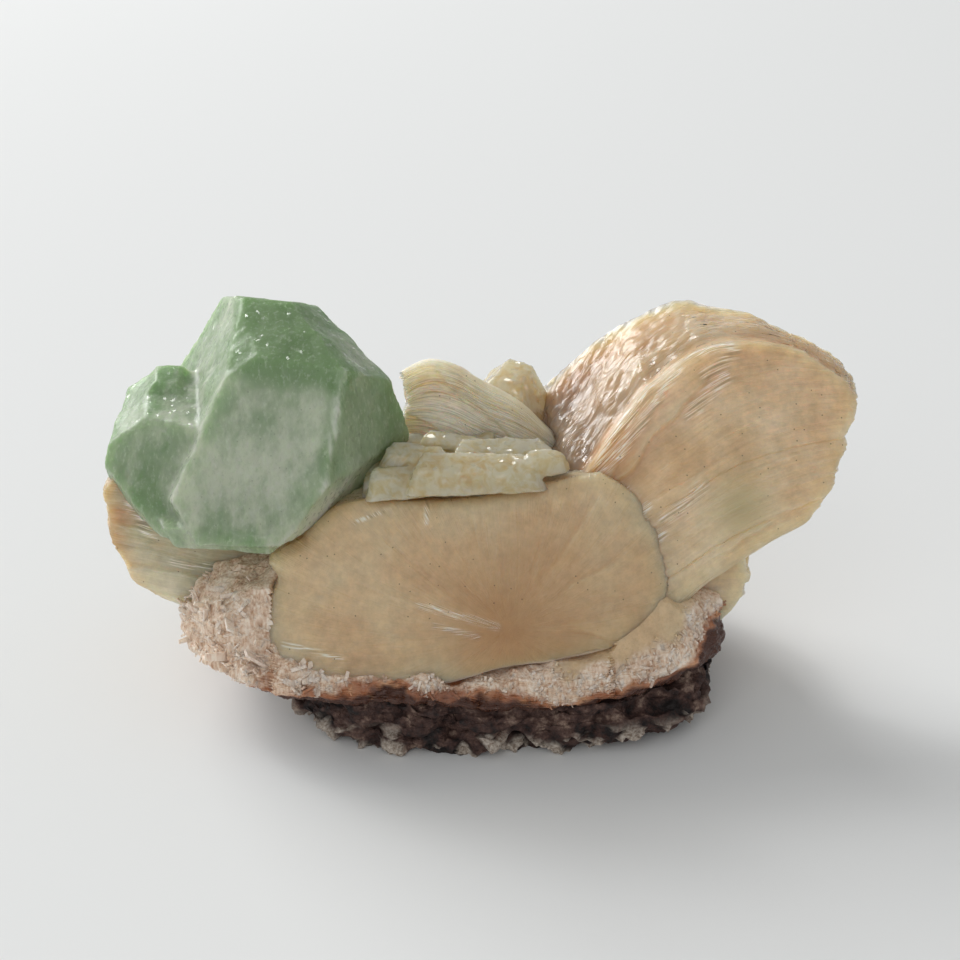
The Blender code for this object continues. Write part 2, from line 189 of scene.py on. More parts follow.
BOW_TIE = Sheaf(
    name="stilbite_bow_tie_blades",
    node="stilbite_bow_tie",
    base_y=BROAD_FACE_Y,
    lean=BROAD_FACE_LEAN,
    turn=0.0,
    left=((-28.7, 15.6), (-30.1, 19.5), (-29.5, 25.1), (-28.4, 28.2), (-29.4, 30.6), (-28.0, 32.4),
          (-25.2, 34.1), (-23.5, 36.3), (-19.6, 38.7), (-14.4, 39.5)),
    right=((18.8, 18.4), (24.1, 22.0), (27.2, 26.5), (26.9, 31.4), (25.4, 36.3), (22.6, 40.0), (17.3, 43.4)),
    bottom=((-28.7, 15.6), (-24.7, 13.8), (-17.8, 12.6), (-5.2, 13.4), (3.2, 15.6), (10.8, 16.7),
            (18.8, 18.4)),
    top=((-14.4, 39.5), (-6.7, 39.3), (1.8, 40.0), (11.6, 42.2), (17.3, 43.4)),
    low_depth=(6.0, 5.0),
    top_depth=(9.0, 6.0),
    waist=(4.4, 21.0),
    curl=0.007,
    grid=(210, 120, 18),
    edges=(((-7.4, 34.0), (-6.9, 42.0), 0.35), ((4.6, 20.6), (-10.0, 25.4), 0.35),
           ((4.0, 19.6), (-7.0, 22.2), 0.3), ((9.0, 24.0), (24.0, 33.5), 0.35),
           ((24.0, 19.0), (12.0, 22.0), 0.4), ((8.0, 26.0), (19.0, 41.5), 0.25)),
    rear_rise=(-2.0, -3.0, -2.0),
    tooth=0.2,
    crown=1.0,
    rounding=4.5,
    lip=1.9,
    flush_bottom=True,
    rim=0.25,
    streaks=(((-7.2, 36.0), (-6.9, 41.0), 0.5), ((2.6, 21.4), (-8.0, 24.4), 0.7),
             ((0.0, 19.9), (-6.0, 21.5), 0.5), ((-17.0, 36.0), (-13.0, 37.6), 0.4),
             ((-27.0, 19.0), (-19.0, 17.0), 0.5)),
    stain_reach=(17.0, 25.0),
    seed=3.0,
)
RIGHT_FAN = Sheaf(
    name="stilbite_right_fan_blades",
    node="stilbite_right_fan",
    base_y=-24.5,
    lean=BROAD_FACE_LEAN,
    turn=0.0,
    left=((6.0, 18.1), (7.4, 23.8), (9.6, 32.2), (13.1, 39.3)),
    right=((47.4, 35.1), (50.3, 39.3), (52.4, 44.8), (52.8, 46.8), (54.5, 50.5), (54.1, 53.6), (51.4, 56.2),
           (46.1, 59.7)),
    bottom=((6.0, 18.1), (17.3, 17.3), (25.7, 20.7), (31.4, 25.2), (37.1, 29.1), (43.6, 33.0), (47.4, 35.1)),
    top=((13.1, 39.3), (15.3, 42.5), (19.1, 47.9), (23.2, 53.3), (25.7, 55.5), (31.8, 59.8), (36.1, 60.8),
         (40.4, 61.0), (46.1, 59.7)),
    low_depth=(16.0, 11.0),
    top_depth=(17.5, 5.0),
    grid=(170, 150, 52),
    spread=1.25,
    edges=(((12.0, 34.0), (25.5, 56.0), 0.45), ((14.0, 33.5), (29.5, 57.0), 0.4),
           ((16.5, 36.0), (35.5, 58.5), 0.6), ((17.0, 29.0), (32.0, 38.0), 0.5),
           ((20.0, 31.0), (34.0, 42.0), 0.3), ((30.0, 27.5), (48.0, 38.0), 0.35)),
    green_spot=(37.2, 36.5),
    streaks=(((18.1, 42.9), (24.9, 55.4), 1.3), ((16.5, 41.0), (21.5, 51.0), 0.8),
             ((32.5, 55.8), (36.8, 59.1), 1.0), ((30.3, 50.2), (35.4, 55.8), 1.2),
             ((26.6, 35.1), (31.6, 39.4), 1.2), ((23.1, 30.9), (25.9, 33.0), 1.0),
             ((15.3, 38.6), (20.9, 39.4), 0.8), ((20.0, 44.0), (28.5, 56.5), 0.9),
             ((19.0, 33.0), (24.0, 37.0), 0.7), ((28.0, 58.5), (36.0, 60.0), 0.9)),
    rear_rise=(6.0, 4.0, 0.0),
    rear_reach=(-4.5, 0.0),
    crown=1.0,
    rounding=2.2,
    lip=1.3,
    belly=1.6,
    rim=0.12,
    side_gloss_and_shade=1.0,
    plates=1.8,
    stain_reach=(27.0, 27.0),
    seed=5.0,
)
MIDDLE_SHEAF = Sheaf(
    name="stilbite_middle_blades",
    node="stilbite_middle_sheaf",
    base_y=2.5,
    lean=8.0,
    turn=-6.0,
    left=((-10.8, 29.0), (-12.0, 35.4), (-12.5, 38.5), (-11.4, 41.6), (-13.0, 44.9)),
    right=((11.8, 25.0), (12.6, 31.2), (11.3, 36.6)),
    bottom=((-10.8, 29.0), (-4.6, 26.0), (2.9, 24.0), (11.8, 25.0)),
    top=((-13.0, 44.9), (-10.8, 46.7), (-7.9, 47.9), (-4.4, 47.4), (-0.3, 45.2), (5.6, 42.1), (11.3, 36.6)),
    low_depth=(11.0, 11.0),
    top_depth=(8.0, 8.0),
    grid=(120, 130, 26),
    spread=2.2,
    root=1.0,
    edges=(((12.0, 27.0), (-14.0, 42.5), 0.6), ((12.0, 31.0), (-9.0, 48.5), 0.5)),
    rear_rise=(-5.0, -5.0, -4.0),
    tooth=1.0,
    crown=1.2,
    rounding=0.9,
    lip=0.5,
    ease=0.3,
    lines=0.75,
    seed=7.0,
)
LEFT_BLADES = Sheaf(
    name="stilbite_left_layers",
    node="stilbite_left_blades",
    base_y=-7.0,
    lean=12.0,
    turn=0.0,
    left=((-45.4, 15.4), (-50.5, 18.1), (-52.4, 21.3), (-53.4, 23.9), (-54.1, 28.9), (-54.8, 31.9),
          (-52.4, 35.2)),
    right=((-27.0, 13.6), (-25.2, 15.4), (-25.4, 19.3), (-25.7, 26.9)),
    bottom=((-45.4, 15.4), (-40.0, 13.6), (-27.0, 13.6)),
    top=((-52.4, 35.2), (-45.8, 34.0), (-37.3, 30.0), (-25.7, 26.9)),
    low_depth=(13.0, 16.0),
    top_depth=(11.0, 16.0),
    grid=(110, 90, 50),
    spread=0.8,
    root=1.0,
    edges=(((-25.0, 17.5), (-55.0, 22.0), 0.6), ((-25.0, 22.0), (-55.0, 28.5), 0.5)),
    rear_rise=(-2.0, -3.0, -3.0),
    tooth=0.9,
    crown=1.2,
    lip=0.7,
    lines=0.12,
    streaks=(((-44.0, 21.5), (-33.0, 20.0), 0.9), ((-50.0, 30.0), (-47.0, 25.0), 1.0),
             ((-38.0, 17.5), (-30.0, 18.5), 0.8)),
    stained_end=0.8,
    seed=11.0,
)
RIGHT_BLADES = Sheaf(
    name="stilbite_low_blades",
    node="stilbite_right_blades",
    base_y=-9.0,
    lean=10.0,
    turn=0.0,
    left=((21.8, 10.0), (21.9, 14.9), (21.6, 19.8)),
    right=((32.0, 10.4), (35.2, 12.9), (38.0, 15.8), (39.2, 18.6), (39.7, 21.1), (39.2, 24.0)),
    bottom=((21.8, 10.0), (27.2, 9.4), (32.0, 10.4)),
    top=((21.6, 19.8), (31.3, 23.2), (39.2, 24.0)),
    low_depth=(12.0, 8.0),
    top_depth=(12.0, 9.0),
    grid=(64, 60, 40),
    spread=0.7,
    tooth=0.8,
    crown=0.8,
    seed=13.0,
)

# Facets of each blocky crystal: compass turn from the front, tilt above level and distance from its centre
FLUORITE = (
    (Vector((-31.0, 4.0, 41.0)), (
        (-6, 24, 10.7), (4, 65, 14.0), (-38, 49, 12.3), (-76, 29, 9.4), (55, 6, 16.2), (95, 52, 16.3),
        (56, -26, 16.5), (-63, -18, 17.4), (-1, -65, 17.7), (42, -80, 14.1), (165, 65, 16.8), (174, 6, 13.0),
        (131, 17, 15.2), (-128, 6, 21.0))),
    (Vector((-43.0, 4.0, 39.0)), (
        (-20, 23, 7.5), (-13, 79, 5.7), (-74, 51, 6.7), (-92, 12, 9.0), (-57, -24, 11.7), (8, -80, 12.5),
        (90, 0, 10.0), (178, 12, 7.0))),
    (Vector((-44.6, 7.0, 43.1)), (
        (-12, 24, 3.4), (30, 84, 3.4), (-80, 40, 3.4), (-90, 0, 4.0), (80, 42, 3.6), (90, 0, 4.0),
        (180, 20, 3.6), (0, -80, 4.0))),
    (Vector((-34.0, -6.0, 28.4)), (
        (-10, -14, 5.2), (0, 86, 3.0), (6, -82, 1.5), (-66, -22, 9.0), (64, -8, 7.4), (180, 0, 8.0))),
)
FLUORITE_CORE = Vector((-31.0, -4.0, 37.0))
CLEAR_CRYSTAL = (
    (Vector((4.6, 14.5, 36.0)), (
        (-22, 12, 4.2), (66, 26, 5.4), (158, 6, 4.4), (-112, 4, 4.6), (20, 76, 7.0), (-15, 48, 6.4),
        (-105, 50, 6.6), (0, -88, 10.0))),
)
SADDLE = (
    (Vector((3.4, 1.6, 29.6)), (
        (2, 26, 4.6), (12, 74, 5.0), (86, 24, 6.4), (-96, 12, 7.4), (176, 5, 6.0), (0, -90, 5.6))),
    (Vector((-4.2, 1.2, 29.0)), (
        (-16, 18, 4.8), (-24, 70, 5.6), (76, 14, 7.0), (-88, 26, 6.0), (182, 8, 6.2), (0, -90, 5.6))),
    (Vector((-10.4, 2.4, 28.6)), (
        (14, 12, 5.0), (20, 66, 6.0), (84, 10, 6.0), (-92, 8, 6.2), (178, 8, 6.0), (0, -90, 5.6))),
)


# Glassy bars across the saddle: centre, compass turn, rise of the right end, half length, height, thickness
SADDLE_BARS = (
    ((-1.0, -4.0, 35.9), 4, 5, 11.0, 2.1, 2.4),
    ((-9.0, -0.4, 36.6), -10, 3, 6.0, 1.4, 1.8),
    ((3.0, 0.8, 37.3), 7, 4, 8.5, 1.1, 1.6),
    ((-11.6, -4.6, 34.8), 14, 9, 5.4, 1.8, 1.8),
    ((9.4, -2.2, 36.8), 18, -6, 4.0, 1.3, 1.6),
    ((-4.0, 3.6, 37.3), -12, 7, 5.2, 0.9, 1.2),
)


@dataclass(frozen=True)
class Stone:
    """A rounded block of stone, squarer the higher its powers are. Its keel narrows its underside."""

    centre: Vector
    half_width: float
    half_depth: float
    below: float
    above: float
    plan_power: float
    side_power: float
    keel: float
    lump: float
    seed: float


BASE = Stone(
    centre=Vector((2.5, 0.5, 5.0)), half_width=32.0, half_depth=21.8, below=8.0, above=5.5,
    plan_power=3.0, side_power=3.6, keel=0.52, lump=0.06, seed=4.0,
)
CRUST = Stone(
    centre=Vector((-3.0, 2.5, 13.5)), half_width=40.0, half_depth=25.5, below=10.0, above=11.0,
    plan_power=2.8, side_power=2.6, keel=0.24, lump=0.05, seed=9.0,
)
CRUST_SETBACK = 0.6

# How finely the stones are divided, how high up the crust its small crystals grow, and the lots they come in
STONE_FINENESS = 7
DRUSE_TOP = 27.0
TABLET_CORNERS = 8
TABLETS_IN_LOT = 60


def smoothstep(x):
    x = min(max(x, 0.0), 1.0)
    return x * x * (3 - 2 * x)


def three_way(values, t):
    """Start, middle and end values, read smoothly at t."""
    start, middle, end = values
    if t < 0.5:
        return start + (middle - start) * smoothstep(2 * t)
    return middle + (end - middle) * smoothstep(2 * t - 1)


def band(position, seed):
    """A row of uneven bands: the random height of the one at a position, and the share of it passed."""
    position += 0.45 * noise.noise(Vector((position * 0.6, seed, 0.0)))
    index = math.floor(position)
    return noise.cell(Vector((index + 0.5, seed, 0.5))), position - index


def soft_band(position, seed, edge):
    """The same row of bands with each step eased over a share of its width."""
    height, passed = band(position, seed)
    following, _ = band(position + 1.0, seed)
    ease = smoothstep((passed - (1 - edge)) / edge)
    return height + (following - height) * ease


@functools.lru_cache(maxsize=None)
def along(points, t):
    """The point a share t of the way along a smooth curve through an outline."""
    spans = [math.dist(a, b) for a, b in zip(points, points[1:])]
    left, i = t * sum(spans), 0
    while i < len(spans) - 1 and left > spans[i]:
        left -= spans[i]
        i += 1
    s = min(left / spans[i], 1.0)
    a, b, c, d = (Vector(points[min(max(k, 0), len(points) - 1)]) for k in range(i - 1, i + 3))
    curve = b + 0.5 * s * (c - a + s * (2 * a - 5 * b + 4 * c - d + s * (3 * (b - c) + d - a)))
    return curve.freeze()


def face_point(sheaf, u, v):
    """A point of the broad face, u along the blades and v across them, each from 0 to 1."""
    left, right = along(sheaf.left, v), along(sheaf.right, v)
    low, high = along(sheaf.bottom, u), along(sheaf.top, u)
    low_edge = Vector(sheaf.left[0]).lerp(Vector(sheaf.right[0]), u)
    high_edge = Vector(sheaf.left[-1]).lerp(Vector(sheaf.right[-1]), u)
    return left.lerp(right, u) + low.lerp(high, v) - low_edge.lerp(high_edge, v)


def fibre(sheaf, u, v, flat):
    """Where a point lies among the blades: its distance from their root, and the angle of its own blade."""
    if sheaf.spread:
        return abs(u - sheaf.root) * math.dist(sheaf.top[0], sheaf.top[-1]), v * sheaf.spread
    across, up = flat.x - sheaf.waist[0], flat.y - sheaf.waist[1]
    reach = math.hypot(across, up)
    side = 1 if across > 0 else -1
    return side * reach, math.atan2(up, abs(across)) - sheaf.curl * reach


def plate_edge(flat, start, end, height):
    """How near a point is to a plate's edge along a line: steep on the left of it, gentle on the right."""
    way = Vector(end) - Vector(start)
    length = way.length
    place = flat - Vector(start)
    passed = place.dot(way) / length
    beside = (way.x * place.y - way.y * place.x) / length
    beside += 0.8 * noise.noise(Vector((passed / 4, length, 0.0)))
    inside = smoothstep(passed / 5) * smoothstep((length - passed) / 4)
    return height * inside * (1 - smoothstep(beside / 0.6 if beside > 0 else -beside / 5))


def painted_glint_at(sheaf, flat):
    """How strongly a point of the broad face lies in a streak of painted glint, where plates have broken."""
    amount = 0.0
    for start, end, breadth in sheaf.streaks:
        start, way = Vector(start), Vector(end) - Vector(start)
        share = min(max((flat - start).dot(way) / way.length_squared, 0.0), 1.0)
        amount = max(amount, 1 - smoothstep((flat - start - way * share).length / breadth - 0.3))
    return amount


def segmented_block(cuts):
    """A two-unit cube cut into a grid along X, Y and Z."""
    block = bmesh.new()
    bmesh.ops.create_cube(block, size=2.0)
    for axis, count in enumerate(cuts):
        ends = [e for e in block.edges if abs((e.verts[0].co - e.verts[1].co)[axis]) > 1.9]
        bmesh.ops.subdivide_edges(block, edges=ends, cuts=count, use_grid_fill=True)
    return block


def displace(shape, height):
    """Moves each vertex along its normal by the height, in millimetres, that a function gives for it."""
    shape.normal_update()
    moves = [(vert, vert.normal * height(vert)) for vert in shape.verts]
    for vert, move in moves:
        vert.co += move


def new_attribute(shape, name):
    return shape.verts.layers.float_vector.new(name)


def finish_piece(name, shape, surface, node, sharp_angle=50.0):
    """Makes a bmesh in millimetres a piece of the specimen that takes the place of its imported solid."""
    bmesh.ops.translate(shape, vec=-DRAWN_CENTRE, verts=shape.verts)
    bmesh.ops.scale(shape, vec=Vector((MM, MM, MM)), verts=shape.verts)
    mesh = bpy.data.meshes.new(name)
    shape.to_mesh(mesh)
    shape.free()
    mesh.shade_smooth()
    mesh.set_sharp_from_angle(angle=math.radians(sharp_angle))
    mesh.materials.append(surface)
    piece = bpy.data.objects.new(name, mesh)
    bpy.context.scene.collection.objects.link(piece)
    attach(piece, "root")
    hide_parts(node)
    return piece


def blade_relief(sheaf, reach, angle, flat, relief):
    """Height of the broad face over its plane: broad swells, then steps from blade to blade."""
    spread = smoothstep(abs(reach) / 12)
    swell = 0.35 * noise.noise(Vector((flat.x / 10, flat.y / 10, sheaf.seed)))
    swell += 0.1 * noise.noise(Vector((flat.x / 2.6, flat.y / 2.6, sheaf.seed)))
    side = sheaf.seed + (20 if reach > 0 else 0)
    broad = soft_band(angle * 11 + reach * 0.03, side, sheaf.ease) - 0.5
    narrow = soft_band(angle * 33 + reach * 0.06, side + 3, sheaf.ease) - 0.5
    thread = noise.noise(Vector((angle * 80, reach * 0.15, side)))
    return swell + spread * relief * (0.8 * broad + 0.5 * narrow + 0.35 * thread)


def rim_relief(sheaf, around, back):
    """Height of the sheaf's sides: glassy swells over thin stacked plates."""
    wander = 2.0 * noise.noise(Vector((around / 7, back / 5, sheaf.seed)))
    plate = soft_band(back / sheaf.plates + wander, sheaf.seed, 0.6) - 0.5
    swell = noise.noise(Vector((around / 6, back / 4, sheaf.seed + 2)))
    ripple = noise.noise(Vector((around / 1.6, back / 0.9, sheaf.seed + 4)))
    return smoothstep(back / 2.5) * (0.5 * sheaf.rim * plate + 0.8 * swell + 0.22 * ripple)


def build_sheaf(sheaf, surface, relief):
    """Bends a grid block into the fan, steps its blade ends and carves its faces."""
    lean, turn = math.radians(sheaf.lean), math.radians(sheaf.turn)
    across = Vector((math.cos(turn), math.sin(turn), 0.0))
    backward = Vector((-math.sin(turn), math.cos(turn), 0.0))
    up = backward * math.sin(lean) + Vector((0.0, 0.0, math.cos(lean)))
    outward = across.cross(up)
    width = math.dist(sheaf.bottom[0], sheaf.bottom[-1])
    height = math.dist(sheaf.right[0], sheaf.right[-1])
    block = segmented_block(sheaf.grid)
    fibres = new_attribute(block, "fibre")
    zones = new_attribute(block, "zone")
    glints = new_attribute(block, "glint")
    heights = {}
    for vert in block.verts:
        u, v, w = (round((c + 1) / 2, 5) for c in vert.co)
        flat = face_point(sheaf, u, v)
        along_blade = face_point(sheaf, min(u + 0.02, 1.0), v) - face_point(sheaf, max(u - 0.02, 0.0), v)
        end = abs(2 * u - 1) ** 14 * (1 if u > 0.5 else -1)
        edge = abs(2 * v - 1) ** 14 * (1 if v > 0.5 else -1)
        tooth = soft_band(v * height / 2.2, sheaf.seed + 1, 0.4) - 0.5
        tooth += 0.35 * (soft_band(v * height / 0.7, sheaf.seed + 2, 0.5) - 0.5)
        flat = flat + along_blade.normalized() * sheaf.tooth * tooth * end
        flat.y += 0.3 * noise.noise(Vector((u * width / 4.5, edge * 3, sheaf.seed))) * edge
        reach, angle = fibre(sheaf, u, v, flat)
        low = sheaf.low_depth[0] * (1 - u) + sheaf.low_depth[1] * u
        high = sheaf.top_depth[0] * (1 - u) + sheaf.top_depth[1] * u
        back = (low * (1 - v) + high * v) * w
        rise = three_way(sheaf.rear_rise, u) * v ** 3 * w
        slide = (sheaf.rear_reach[0] * (1 - u) + sheaf.rear_reach[1] * u) * w
        vert.co = Vector((0.0, sheaf.base_y, 0.0)) + across * (flat.x + slide) + up * (flat.y + rise)
        vert.co += backward * back
        on_rim = u in (0.0, 1.0) or v in (0.0, 1.0)
        border = min(u * width, (1 - u) * width, (1 - v) * height)
        if not sheaf.flush_bottom:
            border = min(border, v * height)
        inner = smoothstep(border / sheaf.rounding)
        passed = max(1 - border / sheaf.rounding, 0.0)
        fall = sheaf.lip * (1 - math.sqrt(1 - passed ** 2))
        if on_rim:
            around = (u * width if v in (0.0, 1.0) else v * height)
            heights[vert.index] = rim_relief(sheaf, around, back)
            vert.co -= outward * fall * (1 - smoothstep(back / (3 * sheaf.lip)) if w > 0.0 else 0.0)
        elif w == 0.0:
            crest = sum(plate_edge(flat, *edge) for edge in sheaf.edges)
            heights[vert.index] = inner * (crest + blade_relief(sheaf, reach, angle, flat, relief))
        else:
            heights[vert.index] = 0.5 * noise.fractal(vert.co / 3, 0.9, 2.0, 3)
        if w == 0.0:
            bulge = sheaf.crown * (1 - (2 * u - 1) ** 2) * (1 - (2 * v - 1) ** 2)
            low_left = math.hypot(0.8 * u, 1.3 * v)
            bulge += sheaf.belly * smoothstep(1.5 * v + 0.15) * smoothstep(2.1 - 2.1 * low_left)
            vert.co += outward * (bulge - fall)
        vert[fibres] = (reach, angle, back)
        green = math.exp(-((flat - Vector(sheaf.green_spot)).length / 4.5) ** 2) if sheaf.green_spot else 0.0
        # The side tone: most on the sides near the left end, a little on the face's border; with the dark
        # colour of the tan sheaves it is painted shade on the side that faces the key light
        pearl_and_side_shade = smoothstep(back / 1.5) * (1 - 0.65 * smoothstep(2 * u)) if on_rim else 0.2 * (1 - inner)
        nearest, farthest = sheaf.stain_reach
        stain_end = nearest + (farthest - nearest) * smoothstep((u - 0.4) / 0.45)
        stained = smoothstep(1 - abs(reach) / stain_end)
        stain = max(stained, sheaf.stained_end * smoothstep(1 - u * width / 3.5))
        vert[zones] = (sheaf.side_gloss_and_shade * pearl_and_side_shade, green, stain)
        broken = 0.5 + 0.9 * noise.noise(Vector((vert.co.x / 5, vert.co.z / 5, back / 5)))
        # On the face: how much painted glint it has, along its streaks and over its share of painted stripes
        if w == 0.0:
            vert[glints] = (0.0, max(painted_glint_at(sheaf, flat), sheaf.lines * inner), 0.0)
        else:
            vert[glints] = (sheaf.side_gloss_and_shade * max(broken, 0.0), 0.0, 0.0)
    bmesh.ops.recalc_face_normals(block, faces=block.faces)
    block.verts.index_update()
    displace(block, lambda vert: heights[vert.index])
    return finish_piece(sheaf.name, block, surface, sheaf.node)


def facet_normal(turn, tilt):
    turn, tilt = math.radians(turn), math.radians(tilt)
    return Vector((math.sin(turn) * math.cos(tilt), -math.cos(turn) * math.cos(tilt), math.sin(tilt)))


def add_crystal(shape, centre, facets):
    """Adds a block trimmed by one plane for each facet."""
    block = bmesh.new()
    bmesh.ops.create_cube(block, size=4 * max(facet[2] for facet in facets))
    for turn, tilt, distance in facets:
        normal = facet_normal(turn, tilt)
        whole = block.verts[:] + block.edges[:] + block.faces[:]
        cut = bmesh.ops.bisect_plane(
            block, geom=whole, plane_co=normal * distance, plane_no=normal, clear_outer=True
        )
        rim = [e for e in cut["geom_cut"] if isinstance(e, bmesh.types.BMEdge)]
        bmesh.ops.contextual_create(block, geom=rim)
    bmesh.ops.translate(block, vec=centre, verts=block.verts)
    bmesh.ops.recalc_face_normals(block, faces=block.faces)
    mesh = bpy.data.meshes.new("crystal")
    block.to_mesh(mesh)
    block.free()
    shape.from_mesh(mesh)
    bpy.data.meshes.remove(mesh)


def one_skin(shape, spacing, smoothing):
    """Grows overlapping crystals together under one even skin, with worn edges."""
    mesh = bpy.data.meshes.new("skin")
    shape.to_mesh(mesh)
    shape.free()
    carrier = bpy.data.objects.new("skin", mesh)
    bpy.context.scene.collection.objects.link(carrier)
    remesh = carrier.modifiers.new("skin", "REMESH")
    remesh.mode = "VOXEL"
    remesh.voxel_size = spacing
    graph = bpy.context.evaluated_depsgraph_get()
    skinned = bpy.data.meshes.new_from_object(carrier.evaluated_get(graph))
    fresh = bmesh.new()
    fresh.from_mesh(skinned)
    bpy.data.objects.remove(carrier)
    bpy.data.meshes.remove(mesh)
    bpy.data.meshes.remove(skinned)
    for _ in range(smoothing):
        bmesh.ops.smooth_vert(
            fresh, verts=fresh.verts, factor=0.5, use_axis_x=True, use_axis_y=True, use_axis_z=True
        )
    bmesh.ops.recalc_face_normals(fresh, faces=fresh.faces)
    return fresh


def growth_relief(place, step, spread, seed):
    """Gentle swells and ripples left by a crystal's growth."""
    there = place / spread + Vector((seed, 0, 0))
    return step * (noise.noise(there) + 0.35 * noise.noise(there * 3.1) + 0.12 * noise.noise(there * 8.3))


def fluorite_zone(place):
    """How milky the big crystal is; how clear and deep green, partly painted shade on its top and high right
    facets; and how near its front edge, where a painted highlight line runs.
    """
    centre, facets = FLUORITE[0]
    front, top, right = (
        (place - centre).dot(facet_normal(*facets[i][:2])) - facets[i][2] for i in (0, 1, 4)
    )
    cloud = noise.noise(place / 7)
    milk = smoothstep(1.2 - (place - FLUORITE_CORE).length / 18 + 0.45 * cloud)
    # The top facet and the high right facet turn deeper green: partly clearer crystal, partly painted shade
    shaded_high_right = 0.6 * smoothstep((right + 2.2) / 1.6) * smoothstep((place.z - 33) / 7)
    clear = shaded_high_right + smoothstep((top + 3.0) / 2)
    # A painted highlight along the edge between the front and right facets
    edge = smoothstep(1 + (front - 0.1) / 1.3) * smoothstep(1 + (right - 0.1) / 1.3)
    return (milk, min(clear, 1.0), edge)


def saddle_bars():
    """The long glassy crystals across the saddle, as blocks with their facets."""
    bars = []
    for centre, turn, lift, long, high, thick in SADDLE_BARS:
        bars.append((Vector(centre), (
            (turn, 24, thick), (turn + 180, 12, thick),
            (turn + 82, lift + 8, long), (turn - 94, 14 - lift, long),
            (turn + 12, 74, high), (turn, -80, high),
            (turn + 48, 34, 0.62 * long), (turn - 58, 28, 0.66 * long),
            (turn + 122, 14, 0.7 * long), (turn - 115, 10, 0.64 * long))))
    return tuple(bars)


def build_crystals(name, node, crystals, surface, spacing, step, spread, seed, smoothing):
    """Grows a group of faceted crystals together and lays the swells of their growth over them."""
    shape = bmesh.new()
    for centre, facets in crystals:
        add_crystal(shape, centre, facets)
    skin = one_skin(shape, spacing, smoothing)
    zones = new_attribute(skin, "zone")
    for vert in skin.verts:
        vert[zones] = fluorite_zone(vert.co)
    displace(skin, lambda vert: growth_relief(vert.co, step, spread, seed))
    return finish_piece(name, skin, surface, node, sharp_angle=40.0)


def stone_point(stone, way):
    """The stone's surface in a direction given on a unit ball."""
    plan = (abs(way.x) ** stone.plan_power + abs(way.y) ** stone.plan_power) ** (1 / stone.plan_power)
    size = (plan ** stone.side_power + abs(way.z) ** stone.side_power) ** (-1 / stone.side_power)
    rough = noise.fractal(way * 2.2 + Vector((stone.seed, 0, 0)), 0.9, 2.1, 3)
    fine = noise.noise(way * 7.5 + Vector((0, stone.seed, 0)))
    size *= 1 + stone.lump * (rough + 0.4 * fine)
    narrowed = 1 - stone.keel * max(-way.z * size, 0.0) ** 2
    height = stone.above if way.z > 0 else stone.below
    return stone.centre + size * Vector(
        (way.x * stone.half_width * narrowed, way.y * stone.half_depth, way.z * height)
    )


def stone_ball(stone, detail):
    ball = bmesh.new()
    bmesh.ops.create_icosphere(ball, subdivisions=detail, radius=1.0)
    for vert in ball.verts:
        vert.co = stone_point(stone, vert.co.normalized())
    bmesh.ops.recalc_face_normals(ball, faces=ball.faces)
    return ball


def broad_face_out():
    lean = math.radians(BROAD_FACE_LEAN)
    return Vector((0, -math.cos(lean), math.sin(lean)))


def small_crystals(places):
    """Tablets that narrow outwards. Each place gives root, direction, length, width, thickness and spin."""
    lot = bmesh.new()
    for root, way, length, width, thickness, spin in places:
        made = bmesh.ops.create_cube(lot, size=1.0)["verts"]
        turned = way.to_track_quat("Z", "Y").to_matrix() @ Matrix.Rotation(spin, 3, "Z")
        for vert in made:
            tip = vert.co.z > 0
            across = vert.co.x * width * (0.6 if tip else 1.0)
            through = vert.co.y * thickness * (0.85 if tip else 1.0)
            vert.co = root + turned @ Vector((across, through, length * (0.6 if tip else -0.4)))
    mesh = bpy.data.meshes.new("lot")
    lot.to_mesh(mesh)
    lot.free()
    return mesh


def open_to_air(tree, place, way):
    """Whether nothing stands close over a place on the crust."""
    reach = 9 * MM
    start = (place - DRAWN_CENTRE) * MM + way * 0.5 * MM
    return tree.ray_cast(start, way, reach)[0] is None


def crust_setback(place):
    """How far behind the broad face the crust stays.

    Where the bow tie covers it, it laps 0.45 mm thick over the bow tie's foot and lies deeper above that.
    """
    share = (place.x - BOW_TIE.bottom[0][0]) / (BOW_TIE.bottom[-1][0] - BOW_TIE.bottom[0][0])
    if not 0 < share < 1:
        return CRUST_SETBACK
    over = place.z / math.cos(math.radians(BROAD_FACE_LEAN)) - face_point(BOW_TIE, share, 0.0).y
    over += 1.6 * noise.noise(Vector((place.x / 4.5, 0.0, 5.0))) - 3.0 * smoothstep((-2.0 - place.x) / 6)
    return 4.0 * smoothstep((over - 0.3) / 5.0) - 0.45


def crust_tan(place):
    """How far a place on the crust is grown over by smooth tan stilbite, the skirt of the big sheaves."""
    over = place.z - rim_height(place) - 3.2 + 2.4 * noise.noise(Vector((place.x / 5, place.y / 5, 8.0)))
    return smoothstep((place.x + 27) / 7) * smoothstep((-6 - place.y) / 6) * smoothstep(over / 2.0)


def crust_relief(place):
    """Height of the crust over its smooth block: grains and upright ridges, faint on the tan skirt."""
    ridges = noise.noise(Vector((place.x / 0.8, place.y / 0.8, place.z / 4)))
    rough = 0.4 * noise.fractal(place / 3.2, 0.8, 2.1, 4) + 0.35 * grain_height(place, 1.5) + 0.3 * ridges
    return rough * (1 - 0.85 * crust_tan(place)) + 0.15 * noise.noise(place / 2.6)


